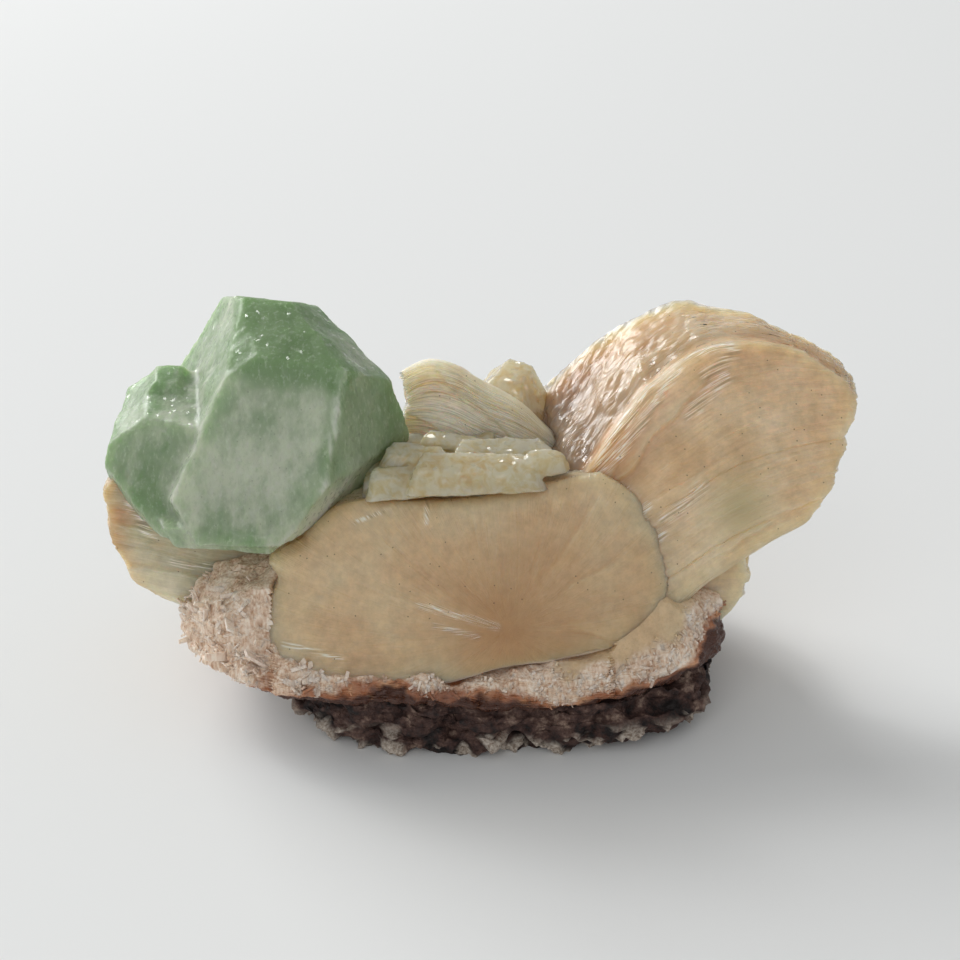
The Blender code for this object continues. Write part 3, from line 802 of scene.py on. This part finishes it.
def build_crust(surface, sizes):
    """The druse: a lumpy crust over the rock with small crystals standing out of it."""
    rng = random.Random(21)
    # Without a seed of its own, noise_vector differs from run to run
    noise.seed_set(21)
    crust = stone_ball(CRUST, STONE_FINENESS)
    front, face_out = Vector((0, BROAD_FACE_Y, 0)), broad_face_out()
    face_down = Vector((0, face_out.z, face_out.y))
    for vert in crust.verts:
        over = (vert.co - front).dot(face_out) + crust_setback(vert.co)
        if over > 0:
            vert.co -= face_out * over
    displace(crust, lambda vert: crust_relief(vert.co))
    crust.verts.ensure_lookup_table()
    crust.normal_update()
    solids = bmesh.new()
    for name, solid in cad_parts.items():
        if name != "druse_crust":
            solids.from_mesh(solid.data)
    tree = BVHTree.FromBMesh(solids)
    solids.free()
    faces = [face for face in crust.faces if face.calc_center_median().z < DRUSE_TOP]
    longest = sizes.druse_length / MM
    stains = [rim_stain(vert.co) for vert in crust.verts]
    glows = [0.0] * len(stains)
    places = []
    while len(places) < sizes.druse_count:
        face = rng.choice(faces)
        root, normal = face.calc_center_median(), face.normal
        left_side = smoothstep((-20 - root.x) / 8) * smoothstep((4 - root.y) / 6)
        front = smoothstep((-12 - root.y) / 5) * (1 - left_side)
        sparse = max(1.3 * crust_tan(root), 0.6 * front, 0.8 * left_side)
        if rim_stain(root) > 0.55 or rng.random() < sparse or not open_to_air(tree, root, normal):
            continue
        lean = noise.noise_vector(root / 3.5)
        tilt = Vector([rng.uniform(-1, 1) for _ in range(3)])
        way = normal * (1 - 0.55 * front) + face_down * 1.1 * front
        way = way + lean * left_side + tilt * (0.6 - 0.2 * left_side)
        length = 0.13 + 0.12 * rng.random() + (0.1 + 0.7 * rng.random() ** 2) * left_side + 0.22 * front
        length *= longest
        length *= 0.35 + 0.65 * smoothstep((normal.z + 0.5) / 0.6)
        grown = 0.06 * front + 0.1 * left_side if rim_stain(root) < 0.05 else 0.0
        length *= 1.8 if rng.random() < grown else 1.0
        width = length * rng.uniform(0.5, 0.9) * (1 - 0.45 * max(front, left_side))
        thin = width * rng.uniform(0.3, 0.6) * (1 - 0.3 * left_side)
        places.append((root, way.normalized(), length, width, thin, rng.uniform(0, math.pi)))
    for first in range(0, len(places), TABLETS_IN_LOT):
        mesh = small_crystals(places[first:first + TABLETS_IN_LOT])
        crust.from_mesh(mesh)
        bpy.data.meshes.remove(mesh)
    for root, *_ in places:
        stains += [rim_stain(root)] * TABLET_CORNERS
        glows += [rng.uniform(0.2, 1.0)] * TABLET_CORNERS
    zones = new_attribute(crust, "zone")
    for vert, stain, glow in zip(crust.verts, stains, glows, strict=True):
        vert[zones] = (stain, glow, crust_tan(vert.co))
    return finish_piece("druse_small_crystals", crust, surface, "druse_crust", sharp_angle=28.0)


def grain_height(place, size):
    """Height of one flat-faced grain in a packed mass of them, 0 at its lowest and about 1 at its highest."""
    distances, points = noise.voronoi(place / size)
    tilt = noise.cell_vector(points[0] * 7.3) - Vector((0.5, 0.5, 0.5))
    return (place / size - points[0]).dot(tilt) + 0.9 - 1.2 * distances[0]


def rim_height(place):
    """How high the crust's lower rim lies: uneven, high at the right end and low at the left."""
    rim = 10.8 + 6.4 * smoothstep((place.x - 22) / 14) * smoothstep((-4 - place.y) / 8 + 1)
    rim -= 2.5 * smoothstep((-30 - place.x) / 6)
    rim += 1.3 * math.exp(-((place.x + 12) / 5) ** 2) - math.exp(-((place.x - 12) / 6) ** 2)
    rim += 1.5 * noise.noise(Vector((place.x / 5, place.y / 5, 2.0)))
    return rim + 0.9 * noise.noise(Vector((place.x / 1.4, place.y / 1.4, place.z / 1.4)))


def rim_stain(place):
    """How much iron stain the crust has: most where it meets the rock, and bare rock above 0.6."""
    return 1 - smoothstep((place.z - rim_height(place) + 1.7) / 2.8)


def build_base(surface, sizes):
    """The basalt: broken lumps with gas holes and a few white zeolite lumps, flat underneath."""
    rock = stone_ball(BASE, STONE_FINENESS)
    zones = new_attribute(rock, "zone")
    bumps = sizes.rock_relief / MM

    for vert in rock.verts:
        low = smoothstep((5.0 - vert.co.z) / 2.5)
        patch = noise.noise(Vector((vert.co.x / 3.4, vert.co.y / 3.4, vert.co.z / 2.6 + 5)))
        patch += 0.4 * noise.noise(vert.co / 1.1)
        vert[zones] = (smoothstep((patch - 0.12) / 0.12) * low, 0.0, 0.0)

    def rough(vert):
        place = vert.co
        lumps = noise.hetero_terrain(place / 5.0, 0.9, 2.1, 4, 0.6) - 0.8
        chips = grain_height(place, 2.6) + 0.5 * grain_height(place, 1.3) - 0.8
        hole = noise.voronoi(place / 3.4)[0][0]
        hollow = max(0.0, 0.45 - hole) * 3.0
        chalk = vert[zones].x * (0.6 + 0.4 * grain_height(place, 1.0))
        return bumps * (0.5 * lumps + 0.45 * chips - hollow + 0.25 * noise.noise(place / 0.9) + 0.8 * chalk)

    displace(rock, rough)
    for vert in rock.verts:
        vert.co.z = max(vert.co.z, 0.0)
    bmesh.ops.recalc_face_normals(rock, faces=rock.faces)
    return finish_piece("basalt_rock", rock, surface, "basalt_base", sharp_angle=60.0)


def node(tree, kind, inputs=None, stops=None, **settings):
    """Adds a shader node, sets its properties and colour stops, and sets or links each input it is given."""
    made = tree.nodes.new(kind)
    for name, value in settings.items():
        setattr(made, name, value)
    if stops:
        ramp = made.color_ramp
        while len(ramp.elements) < len(stops):
            ramp.elements.new(0.5)
        for element, (position, colour) in zip(ramp.elements, stops):
            element.position = position
            element.color = (*colour, 1.0)
    for name, value in (inputs or {}).items():
        if isinstance(value, bpy.types.NodeSocket):
            tree.links.new(value, made.inputs[name])
        elif isinstance(value, tuple) and len(value) == 3 and made.inputs[name].type == "RGBA":
            made.inputs[name].default_value = (*value, 1.0)
        else:
            made.inputs[name].default_value = value
    return made


def per_mm(size):
    """The texture scale, on coordinates in metres, that makes one feature this many millimetres wide."""
    return 1 / (size * MM)


def grey(value):
    return (value, value, value)


def mottling(tree, place, size, detail, roughness=0.5, distortion=0.0):
    """Cloudy noise with features this many millimetres wide."""
    return node(tree, "ShaderNodeTexNoise", {
        "Vector": place, "Scale": per_mm(size), "Detail": detail,
        "Roughness": roughness, "Distortion": distortion,
    }).outputs["Fac"]


def scaled(tree, vector, factors):
    """Coordinates with each axis multiplied by its own factor."""
    return vectors(tree, "MULTIPLY", vector, factors)[0]


def vectors(tree, operation, first, second):
    return node(tree, "ShaderNodeVectorMath", {0: first, 1: second}, operation=operation).outputs


def mapped(tree, place, factors, turn=(0.0, 0.0, 0.0)):
    """Coordinates scaled along each axis, then turned."""
    return node(tree, "ShaderNodeMapping", {"Vector": place, "Rotation": turn, "Scale": factors}).outputs[0]


def drawn_out(tree, vector, factors, detail):
    """Noise that is drawn out along the blades: the smaller an axis's factor is, the longer its features."""
    made = node(tree, "ShaderNodeTexNoise", {
        "Vector": scaled(tree, vector, factors), "Scale": 1.0, "Detail": detail,
    })
    return made.outputs["Fac"]


def maths(tree, operation, *values, **settings):
    return node(tree, "ShaderNodeMath", dict(enumerate(values)), operation=operation, **settings).outputs[0]


def ranged(tree, value, low, high, to_low=0.0, to_high=1.0):
    """A value moved from one range to another, and kept within it."""
    return node(tree, "ShaderNodeMapRange", {
        "Value": value, "From Min": low, "From Max": high, "To Min": to_low, "To Max": to_high,
    }).outputs[0]


def ramp(tree, value, *stops):
    """The colour that stops give at a value."""
    return node(tree, "ShaderNodeValToRGB", {"Fac": value}, stops=stops).outputs["Color"]


def blend(tree, share, first, second, way="MIX"):
    """A share of the second colour laid over the first."""
    made = node(tree, "ShaderNodeMix", {0: share, 6: first, 7: second}, data_type="RGBA", blend_type=way)
    return made.outputs[2]


def between(tree, share, first, second):
    """A number a share of the way from the first to the second."""
    return node(tree, "ShaderNodeMix", {0: share, 2: first, 3: second}).outputs[0]


def bumped(tree, height, strength, distance, under=None):
    """The normals of a relief, over the normals of a coarser one where that is given."""
    made = node(tree, "ShaderNodeBump", {"Height": height, "Strength": strength, "Distance": distance})
    if under:
        tree.links.new(under, made.inputs["Normal"])
    return made.outputs["Normal"]


def attribute(tree, name):
    """A vertex attribute's vector and its three parts."""
    vector = node(tree, "ShaderNodeAttribute", attribute_name=name).outputs["Vector"]
    return vector, tuple(node(tree, "ShaderNodeSeparateXYZ", {"Vector": vector}).outputs)


def specked(tree, place, colour, spacing, radius, left_out, speck, strength):
    """A colour with specks: one in each cell this many millimetres wide, but for a share that is left out."""
    cells = node(tree, "ShaderNodeTexVoronoi", {"Vector": place, "Scale": per_mm(spacing)})
    near = maths(tree, "LESS_THAN", cells.outputs["Distance"], radius)
    chance = node(tree, "ShaderNodeSeparateColor", {"Color": cells.outputs["Color"]}).outputs[0]
    kept = maths(tree, "GREATER_THAN", chance, left_out)
    share = maths(tree, "MULTIPLY", maths(tree, "MULTIPLY", near, kept), strength)
    return blend(tree, share, colour, linear(speck))


def glint_facets(tree, place, tilt, strength, share, under=None):
    """A skin of small flat facets: their normals, and the chosen share of them that lie open and glint."""
    cells = node(tree, "ShaderNodeTexVoronoi", {"Vector": place, "Scale": 1.0})
    offset = vectors(tree, "SUBTRACT", place, cells.outputs["Position"])[0]
    lean = vectors(tree, "SUBTRACT", cells.outputs["Color"], (0.5, 0.5, 0.5))[0]
    height = vectors(tree, "DOT_PRODUCT", offset, lean)["Value"]
    chance = node(tree, "ShaderNodeSeparateColor", {"Color": cells.outputs["Color"]}).outputs[2]
    chosen = ranged(tree, chance, 0.98 - share, 1.0 - share)
    steepness = maths(tree, "MULTIPLY_ADD", chosen, 3.0, 0.15)
    steep = maths(tree, "MULTIPLY", height, steepness)
    return bumped(tree, steep, strength, tilt, under), chosen


def new_surface(name):
    """A new material, its node tree, its one Principled shader and the object's coordinates."""
    surface = bpy.data.materials.new(name)
    surface.use_nodes = True
    tree = surface.node_tree
    return surface, tree, tree.nodes["Principled BSDF"], node(tree, "ShaderNodeTexCoord").outputs["Object"]


def dress(tree, shader, changing, even):
    """Links the sockets whose values change over the surface and sets those that are the same all over it."""
    for name, output in changing.items():
        tree.links.new(output, shader.inputs[name])
    for name, value in even.items():
        shader.inputs[name].default_value = value


def absorb_light(tree, colour, density):
    """Tints the light that passes through a clear mineral."""
    inside = node(tree, "ShaderNodeVolumeAbsorption", {"Color": linear(colour), "Density": density})
    tree.links.new(inside.outputs[0], tree.nodes["Material Output"].inputs["Volume"])


def stilbite_surface(name, body, deep, pearl_and_side_shade, stain, streaky=0.9):
    """Stilbite in sheaves of thin blades: a silky sheen along them, ends and sides toned darker as painted
    shade on the tan sheaves, stripes of painted glint, clear and tan inside.
    """
    surface, tree, shader, place = new_surface(name)
    fibres, _ = attribute(tree, "fibre")
    _, (side_gloss_and_shade, green, stained) = attribute(tree, "zone")
    _, (open_sides, painted_glint_lines, _) = attribute(tree, "glint")
    # Threads about half a millimetre wide and a centimetre long, then hairs about a fifth as wide
    thread = drawn_out(tree, fibres, (0.10, 42.0, 0.9), 3.0)
    hair = drawn_out(tree, fibres, (0.35, 190.0, 3.0), 2.0)
    cloud = mottling(tree, place, 13.0, 3.0, 0.6)
    mottle = mottling(tree, place, 1.4, 5.0, 0.7)

    depth = ramp(tree, cloud, (0.36, body), (0.58, deep), (0.72, linear("#D0AE86")))
    streaks = ramp(tree, thread, (0.30, grey(0.92)), (0.52, grey(0.99)), (0.70, grey(1.05)))
    fading = ranged(tree, stained, 0.0, 1.0, streaky, 0.3 * streaky)
    streaked = blend(tree, fading, depth, streaks, "MULTIPLY")
    cloudy = ramp(tree, mottle, (0.35, grey(0.86)), (0.65, grey(1.08)))
    mottled = blend(tree, 0.9, streaked, cloudy, "MULTIPLY")
    browned = blend(tree, 0.7, mottled, blend(tree, stained, mottled, stain))
    # The side tone over sides and face borders, broken by veins; on the tan sheaves it is painted shade
    veins = ranged(tree, mottle, 0.3, 0.7, 0.6, 1.0)
    side_toned = blend(tree, maths(tree, "MULTIPLY", side_gloss_and_shade, veins), browned, pearl_and_side_shade)

    # Painted glints where plates have broken: bright stripes a tenth of a millimetre wide along the blades,
    # between grooves of painted shade
    line = drawn_out(tree, fibres, (0.16, 62.0, 1.0), 2.0)
    thin = ramp(tree, line, (0.50, grey(0.0)), (0.56, grey(1.0)), (0.62, grey(0.0)))
    glint_painted = blend(tree, maths(tree, "MULTIPLY", thin, painted_glint_lines), side_toned, linear("#FFF8EC"))
    groove_shade = ramp(tree, line, (0.36, grey(0.72)), (0.46, grey(1.0)))
    groove_shaded = blend(tree, painted_glint_lines, glint_painted, groove_shade, "MULTIPLY")

    # Specks of dust and iron oxide a fifth of a millimetre across, and the green lens in the fan
    dusty = specked(tree, place, groove_shaded, 1.3, 0.085, 0.62, "#4A3420", 0.6)
    colour = blend(tree, green, dusty, linear("#CCBC92"))
    gloss = ranged(tree, thread, 0.3, 0.7, 0.42, 0.24)

    # Broken plates: steps a quarter of a millimetre high along the blades, with small open facets on them
    shingle = drawn_out(tree, fibres, (0.22, 36.0, 1.3), 1.0)
    steps = maths(tree, "MULTIPLY", ranged(tree, shingle, 0.47, 0.53), open_sides)
    broken = bumped(tree, steps, 1.0, 0.00025)
    scales = scaled(tree, fibres, (0.8, 52.0, 1.7))
    facets, chosen = glint_facets(tree, scales, 0.0006, open_sides, 0.4, broken)
    grain = maths(tree, "MULTIPLY_ADD", mottle, 0.5, maths(tree, "ADD", thread, hair))
    dress(tree, shader, {
        "Base Color": colour,
        "Roughness": maths(tree, "MULTIPLY_ADD", side_gloss_and_shade, -0.2, gloss),
        "Normal": bumped(tree, grain, 0.6, 0.00016, broken),
        "Coat Normal": facets,
        "Coat Weight": maths(tree, "MULTIPLY", chosen, open_sides, use_clamp=True),
    }, {
        "IOR": 1.50,
        "Subsurface Weight": 0.9,
        "Subsurface Radius": (1.0, 0.72, 0.46),
        "Subsurface Scale": 0.0075,
        "Coat Roughness": 0.08,
    })
    return surface


def fluorite_surface(milky, deep):
    """Fluorite, half clear: milky clouds in clear green, painted shade on its top and right facets, a painted
    highlight along its front edge, glassy faces with fine pits.
    """
    surface, tree, shader, place = new_surface("milky_green_fluorite")
    _, (milk, clear_and_shaded_facets, edge) = attribute(tree, "zone")
    drawn = mapped(tree, place, (1.0, 1.0, 0.4), (0.0, math.radians(32), 0.0))
    cloud = mottling(tree, place, 12.0, 3.0)
    wisps = mottling(tree, drawn, 2.4, 4.0, distortion=0.3)
    veil = between(tree, 0.45, cloud, wisps)
    core = maths(tree, "MULTIPLY_ADD", milk, 0.5, 0.27)
    veiled = maths(tree, "MULTIPLY_ADD", veil, 2.9, -1.38)
    milkiness = maths(tree, "ADD", core, veiled, use_clamp=True)
    body = ramp(tree, milkiness, (0.05, deep), (0.45, linear("#AABB9B")), (0.9, milky))
    # Deeper green on the top and high right facets: partly clearer crystal, partly painted shade
    clear = blend(tree, clear_and_shaded_facets, body, linear("#87A474"))
    # A painted highlight line along the front edge, broken up by the wisps
    painted_edge_highlight = maths(tree, "MULTIPLY", edge, ranged(tree, wisps, 0.44, 0.64))
    edge_highlighted = blend(tree, painted_edge_highlight, clear, linear("#EEF2E6"))
    # Fine flaws that catch light inside the crystal or leave it dark, half a millimetre wide
    flaws = mottling(tree, drawn, 0.5, 5.0, 0.7)
    flawed = blend(tree, ranged(tree, flaws, 0.52, 0.72, 0.0, 0.5), edge_highlighted, linear("#E4ECDA"))
    dimmed = blend(tree, ranged(tree, flaws, 0.46, 0.30, 0.0, 0.35), flawed, deep)
    pits = mottling(tree, place, 0.5, 3.0)
    height = maths(tree, "MULTIPLY_ADD", pits, 0.5, wisps)
    facets, chosen = glint_facets(tree, scaled(tree, place, (2400.0, 2400.0, 1500.0)), 0.0002, 1.0, 0.25)
    dress(tree, shader, {
        "Base Color": specked(tree, place, dimmed, 1.5, 0.07, 0.0, "#46553A", 0.3),
        "Roughness": ranged(tree, wisps, 0.35, 0.65, 0.34, 0.52),
        "Normal": bumped(tree, height, 0.35, 0.00015),
        "Coat Normal": facets,
        "Coat Weight": maths(tree, "MULTIPLY", chosen, 0.6),
    }, {
        "IOR": 1.434,
        "Subsurface Weight": 0.85,
        "Subsurface Radius": (0.75, 1.0, 0.6),
        "Subsurface Scale": 0.006,
        "Transmission Weight": 0.28,
        "Coat Roughness": 0.08,
    })
    absorb_light(tree, "#9DBE86", 60.0)
    return surface


def clear_surface(tint):
    """Clear zeolite: faintly honey coloured, glassy faces, thin veils inside."""
    surface, tree, shader, place = new_surface("clear_zeolite")
    veil = mottling(tree, place, 1.8, 5.0, distortion=1.0)
    fine = mottling(tree, place, 0.7, 3.0)
    facets, chosen = glint_facets(tree, scaled(tree, place, (1100.0, 1100.0, 900.0)), 0.0006, 1.0, 0.45)
    dress(tree, shader, {
        "Base Color": ramp(tree, veil, (0.30, tint), (0.60, linear("#F4E6C6"))),
        "Roughness": ranged(tree, fine, 0.35, 0.65, 0.04, 0.18),
        "Normal": bumped(tree, fine, 0.4, 0.00012),
        "Coat Normal": facets,
        "Coat Weight": chosen,
    }, {
        "IOR": 1.53,
        "Subsurface Weight": 1.0,
        "Subsurface Radius": (1.0, 0.92, 0.75),
        "Subsurface Scale": 0.006,
        "Transmission Weight": 0.35,
        "Coat Roughness": 0.06,
    })
    absorb_light(tree, "#E4E2C4", 20.0)
    return surface


def druse_surface(body, stain, tan, tan_deep):
    """A crust of small zeolite crystals: pinkish white, half clear, stained by iron near the rock."""
    surface, tree, shader, place = new_surface("zeolite_druse")
    _, (rusted, glow, tanned) = attribute(tree, "zone")
    patch = mottling(tree, place, 4.0, 5.0)
    fine = mottling(tree, place, 0.6, 4.0)
    # Upright fibres 0.4 mm wide and 3 mm long
    upright = mapped(tree, place, (1.0, 1.0, 0.14))
    fibrous = mottling(tree, upright, 0.4, 3.0)
    fibrous_patch = between(tree, 0.6, patch, fibrous)
    ground = ramp(tree, fibrous_patch, (0.36, linear("#C0987B")), (0.47, body), (0.60, linear("#F7E7D6")))
    white = blend(tree, 0.5, ground, blend(tree, glow, ground, linear("#F6ECE4")))
    # The tan skirt, clouded and mottled like the sheaves
    skirt = ramp(tree, mottling(tree, place, 13.0, 3.0, 0.6), (0.36, tan), (0.66, tan_deep))
    cloudy = ramp(tree, mottling(tree, place, 1.4, 5.0, 0.7), (0.35, grey(0.84)), (0.65, grey(1.02)))
    skirted = blend(tree, tanned, white, blend(tree, 1.0, skirt, cloudy, "MULTIPLY"))
    rusty = ramp(tree, patch, (0.35, linear("#8A4F30")), (0.50, stain), (0.65, linear("#C48F66")))
    stained = blend(tree, ranged(tree, rusted, 0.08, 0.5, 0.0, 0.9), skirted, rusty)
    dress(tree, shader, {
        "Base Color": blend(tree, ranged(tree, rusted, 0.68, 0.95), stained, linear("#4E2C1E")),
        "Roughness": ranged(tree, fine, 0.3, 0.7, 0.18, 0.6),
        "Normal": bumped(tree, fine, 0.7, 0.0003),
    }, {
        "IOR": 1.50,
        "Subsurface Weight": 0.5,
        "Subsurface Radius": (1.0, 0.9, 0.8),
        "Subsurface Scale": 0.0006,
    })
    return surface


def basalt_surface(body):
    """Weathered basalt: matt dark purple brown with rust specks, and chalky zeolite lumps at its foot."""
    surface, tree, shader, place = new_surface("weathered_basalt")
    _, (chalky, _, _) = attribute(tree, "zone")
    patch = mottling(tree, place, 3.0, 6.0, 0.65)
    grain = mottling(tree, place, 0.4, 4.0)
    ground = ramp(
        tree, patch,
        (0.38, linear("#1C1413")), (0.49, body), (0.57, linear("#5E463D")), (0.68, linear("#A08878")),
    )
    chalk = ramp(tree, grain, (0.35, linear("#8C7B6C")), (0.65, linear("#D2C7BA")))
    height = maths(tree, "MULTIPLY_ADD", grain, 0.5, patch)
    dress(tree, shader, {
        "Base Color": blend(tree, chalky, ground, chalk),
        "Roughness": ranged(tree, grain, 0.3, 0.7, 0.55, 0.95),
        "Normal": bumped(tree, height, 0.8, 0.0006),
    }, {})
    return surface


def floor_surface(colour):
    """Plain matt studio paper."""
    surface, tree, shader, _ = new_surface("studio_paper")
    dress(tree, shader, {}, {"Base Color": (*colour, 1.0), "Roughness": 0.9, "Specular IOR Level": 0.1})
    return surface


class SPECIMEN_OT_sheaves(bpy.types.Operator):
    """Grow the stilbite sheaves: the bow tie in front, the tall fan, and the smaller groups of blades"""

    bl_idname = "specimen.sheaves"
    bl_label = "Stilbite Sheaves"

    def execute(self, context):
        colours, sizes = context.scene.specimen_colours, context.scene.specimen_sizes
        relief = sizes.blade_relief / MM
        tan = stilbite_surface("bladed_stilbite", linear("#EDDAB8"), linear("#E2C69C"),
                               tuple(colours.pearl_and_side_shade), linear("#C88E54"))
        silky = stilbite_surface("silky_stilbite", tuple(colours.stilbite), tuple(colours.stilbite_deep),
                                 tuple(colours.pearl_and_side_shade), linear("#C0905F"), streaky=0.4)
        pale = stilbite_surface("pale_layered_stilbite", tuple(colours.pale_stilbite), linear("#C6BD9C"),
                                linear("#E9E2CC"), linear("#B07F4C"))
        fine = stilbite_surface("fine_stilbite", linear("#F3EEDB"), linear("#E2DABF"), linear("#E2D8C6"),
                                linear("#C9B48E"), streaky=2.6)
        build_sheaf(BOW_TIE, silky, 0.45 * relief)
        for sheaf in (RIGHT_FAN, RIGHT_BLADES):
            build_sheaf(sheaf, tan, relief)
        build_sheaf(MIDDLE_SHEAF, fine, 2.6 * relief)
        build_sheaf(LEFT_BLADES, pale, relief)
        return {"FINISHED"}


class SPECIMEN_OT_fluorite(bpy.types.Operator):
    """Grow the large milky green crystal with its shoulder, knob and ledge"""

    bl_idname = "specimen.fluorite"
    bl_label = "Fluorite Crystal"

    def execute(self, context):
        colours = context.scene.specimen_colours
        surface = fluorite_surface(tuple(colours.fluorite), tuple(colours.fluorite_deep))
        build_crystals("green_fluorite", "fluorite_crystal", FLUORITE, surface,
                       spacing=0.34, step=0.30, spread=4.2, seed=2.0, smoothing=2)
        return {"FINISHED"}


class SPECIMEN_OT_clear_crystals(bpy.types.Operator):
    """Grow the small clear crystals at the back and in the dip between the sheaves"""

    bl_idname = "specimen.clear_crystals"
    bl_label = "Clear Crystals"

    def execute(self, context):
        surface = clear_surface(linear("#E2C690"))
        build_crystals("clear_rear_crystal", "clear_crystal", CLEAR_CRYSTAL, surface,
                       spacing=0.26, step=0.12, spread=1.6, seed=6.0, smoothing=1)
        build_crystals("clear_saddle_crystals", "saddle_crystals", SADDLE + saddle_bars(), surface,
                       spacing=0.32, step=0.3, spread=3.0, seed=8.0, smoothing=2)
        return {"FINISHED"}


class SPECIMEN_OT_crust(bpy.types.Operator):
    """Grow the crust of small crystals that carries the large ones"""

    bl_idname = "specimen.crust"
    bl_label = "Druse Crust"

    def execute(self, context):
        colours, sizes = context.scene.specimen_colours, context.scene.specimen_sizes
        surface = druse_surface(tuple(colours.druse), tuple(colours.stain), tuple(colours.stilbite),
                                tuple(colours.stilbite_deep))
        build_crust(surface, sizes)
        return {"FINISHED"}


class SPECIMEN_OT_base(bpy.types.Operator):
    """Break the basalt that the specimen stands on"""

    bl_idname = "specimen.base"
    bl_label = "Basalt Base"

    def execute(self, context):
        colours, sizes = context.scene.specimen_colours, context.scene.specimen_sizes
        build_base(basalt_surface(tuple(colours.basalt)), sizes)
        return {"FINISHED"}


def area_light(name, direction, distance, size, power):
    """A round soft light, its distance and size in metres and its power in watts, aimed at the specimen."""
    light = bpy.data.lights.new(name, "AREA")
    light.shape = "DISK"
    light.size = size
    light.energy = power
    lamp = bpy.data.objects.new(name, light)
    way = Vector(direction).normalized()
    lamp.location = way * distance + Vector((0, 0, 0.025))
    lamp.rotation_euler = way.to_track_quat("Z", "Y").to_euler()
    bpy.context.scene.collection.objects.link(lamp)


class SPECIMEN_OT_stage(bpy.types.Operator):
    """Set up the plain floor, the soft studio light and the camera"""

    bl_idname = "specimen.stage"
    bl_label = "Stage"

    def execute(self, context):
        colours, sizes = context.scene.specimen_colours, context.scene.specimen_sizes
        paper = bmesh.new()
        bmesh.ops.create_grid(paper, x_segments=1, y_segments=1, size=sizes.floor_width / 2)
        mesh = bpy.data.meshes.new("floor")
        paper.to_mesh(mesh)
        paper.free()
        mesh.materials.append(floor_surface(tuple(colours.floor)))
        floor = bpy.data.objects.new("floor", mesh)
        context.scene.collection.objects.link(floor)

        area_light("key_light", (-0.65, 0.56, 0.48), distance=2.7, size=1.75, power=62.0)
        area_light("window", (-0.62, 0.50, 0.60), distance=2.7, size=0.4, power=6.5)
        area_light("front_fill", (-0.30, -0.80, 0.65), distance=1.2, size=0.9, power=2.0)
        world = bpy.data.worlds.new("studio")
        world.use_nodes = True
        daylight = world.node_tree.nodes["Background"]
        daylight.inputs["Color"].default_value = (0.98, 0.99, 1.0, 1.0)
        daylight.inputs["Strength"].default_value = 0.45
        context.scene.world = world
        context.scene.view_settings.view_transform = "Standard"

        elevation = math.radians(CAMERA_ELEVATION)
        looking = Vector((0, math.cos(elevation), -math.sin(elevation)))
        camera = bpy.data.objects.new("camera", bpy.data.cameras.new("camera"))
        camera.data.lens = CAMERA_LENS
        camera.data.sensor_width = CAMERA_SENSOR
        camera.location = (CAMERA_TARGET - DRAWN_CENTRE - looking * CAMERA_DISTANCE) * MM
        camera.rotation_euler = looking.to_track_quat("-Z", "Y").to_euler()
        context.scene.collection.objects.link(camera)
        context.scene.camera = camera
        return {"FINISHED"}


class SPECIMEN_PT_panel(bpy.types.Panel):
    """Lists the parts of the specimen in the order they are built"""

    bl_idname = "SPECIMEN_PT_panel"
    bl_label = "Crystal Specimen"
    bl_space_type = "VIEW_3D"
    bl_region_type = "UI"
    bl_category = "Specimen"

    def draw(self, context):
        for group in (context.scene.specimen_sizes, context.scene.specimen_colours):
            for name in group.__annotations__:
                self.layout.prop(group, name)
        for operator in OPERATORS:
            self.layout.operator(operator.bl_idname)


OPERATORS = (
    SPECIMEN_OT_base,
    SPECIMEN_OT_crust,
    SPECIMEN_OT_sheaves,
    SPECIMEN_OT_fluorite,
    SPECIMEN_OT_clear_crystals,
    SPECIMEN_OT_stage,
)
CLASSES = (SpecimenSizes, SpecimenColours, *OPERATORS, SPECIMEN_PT_panel)


def register():
    for cls in CLASSES:
        bpy.utils.register_class(cls)
    bpy.types.Scene.specimen_sizes = PointerProperty(type=SpecimenSizes)
    bpy.types.Scene.specimen_colours = PointerProperty(type=SpecimenColours)


def unregister():
    del bpy.types.Scene.specimen_colours
    del bpy.types.Scene.specimen_sizes
    for cls in reversed(CLASSES):
        bpy.utils.unregister_class(cls)


def main():
    register()
    bpy.ops.specimen.base()
    bpy.ops.specimen.crust()
    bpy.ops.specimen.sheaves()
    bpy.ops.specimen.fluorite()
    bpy.ops.specimen.clear_crystals()
    bpy.ops.specimen.stage()


if __name__ == "__main__":
    main()
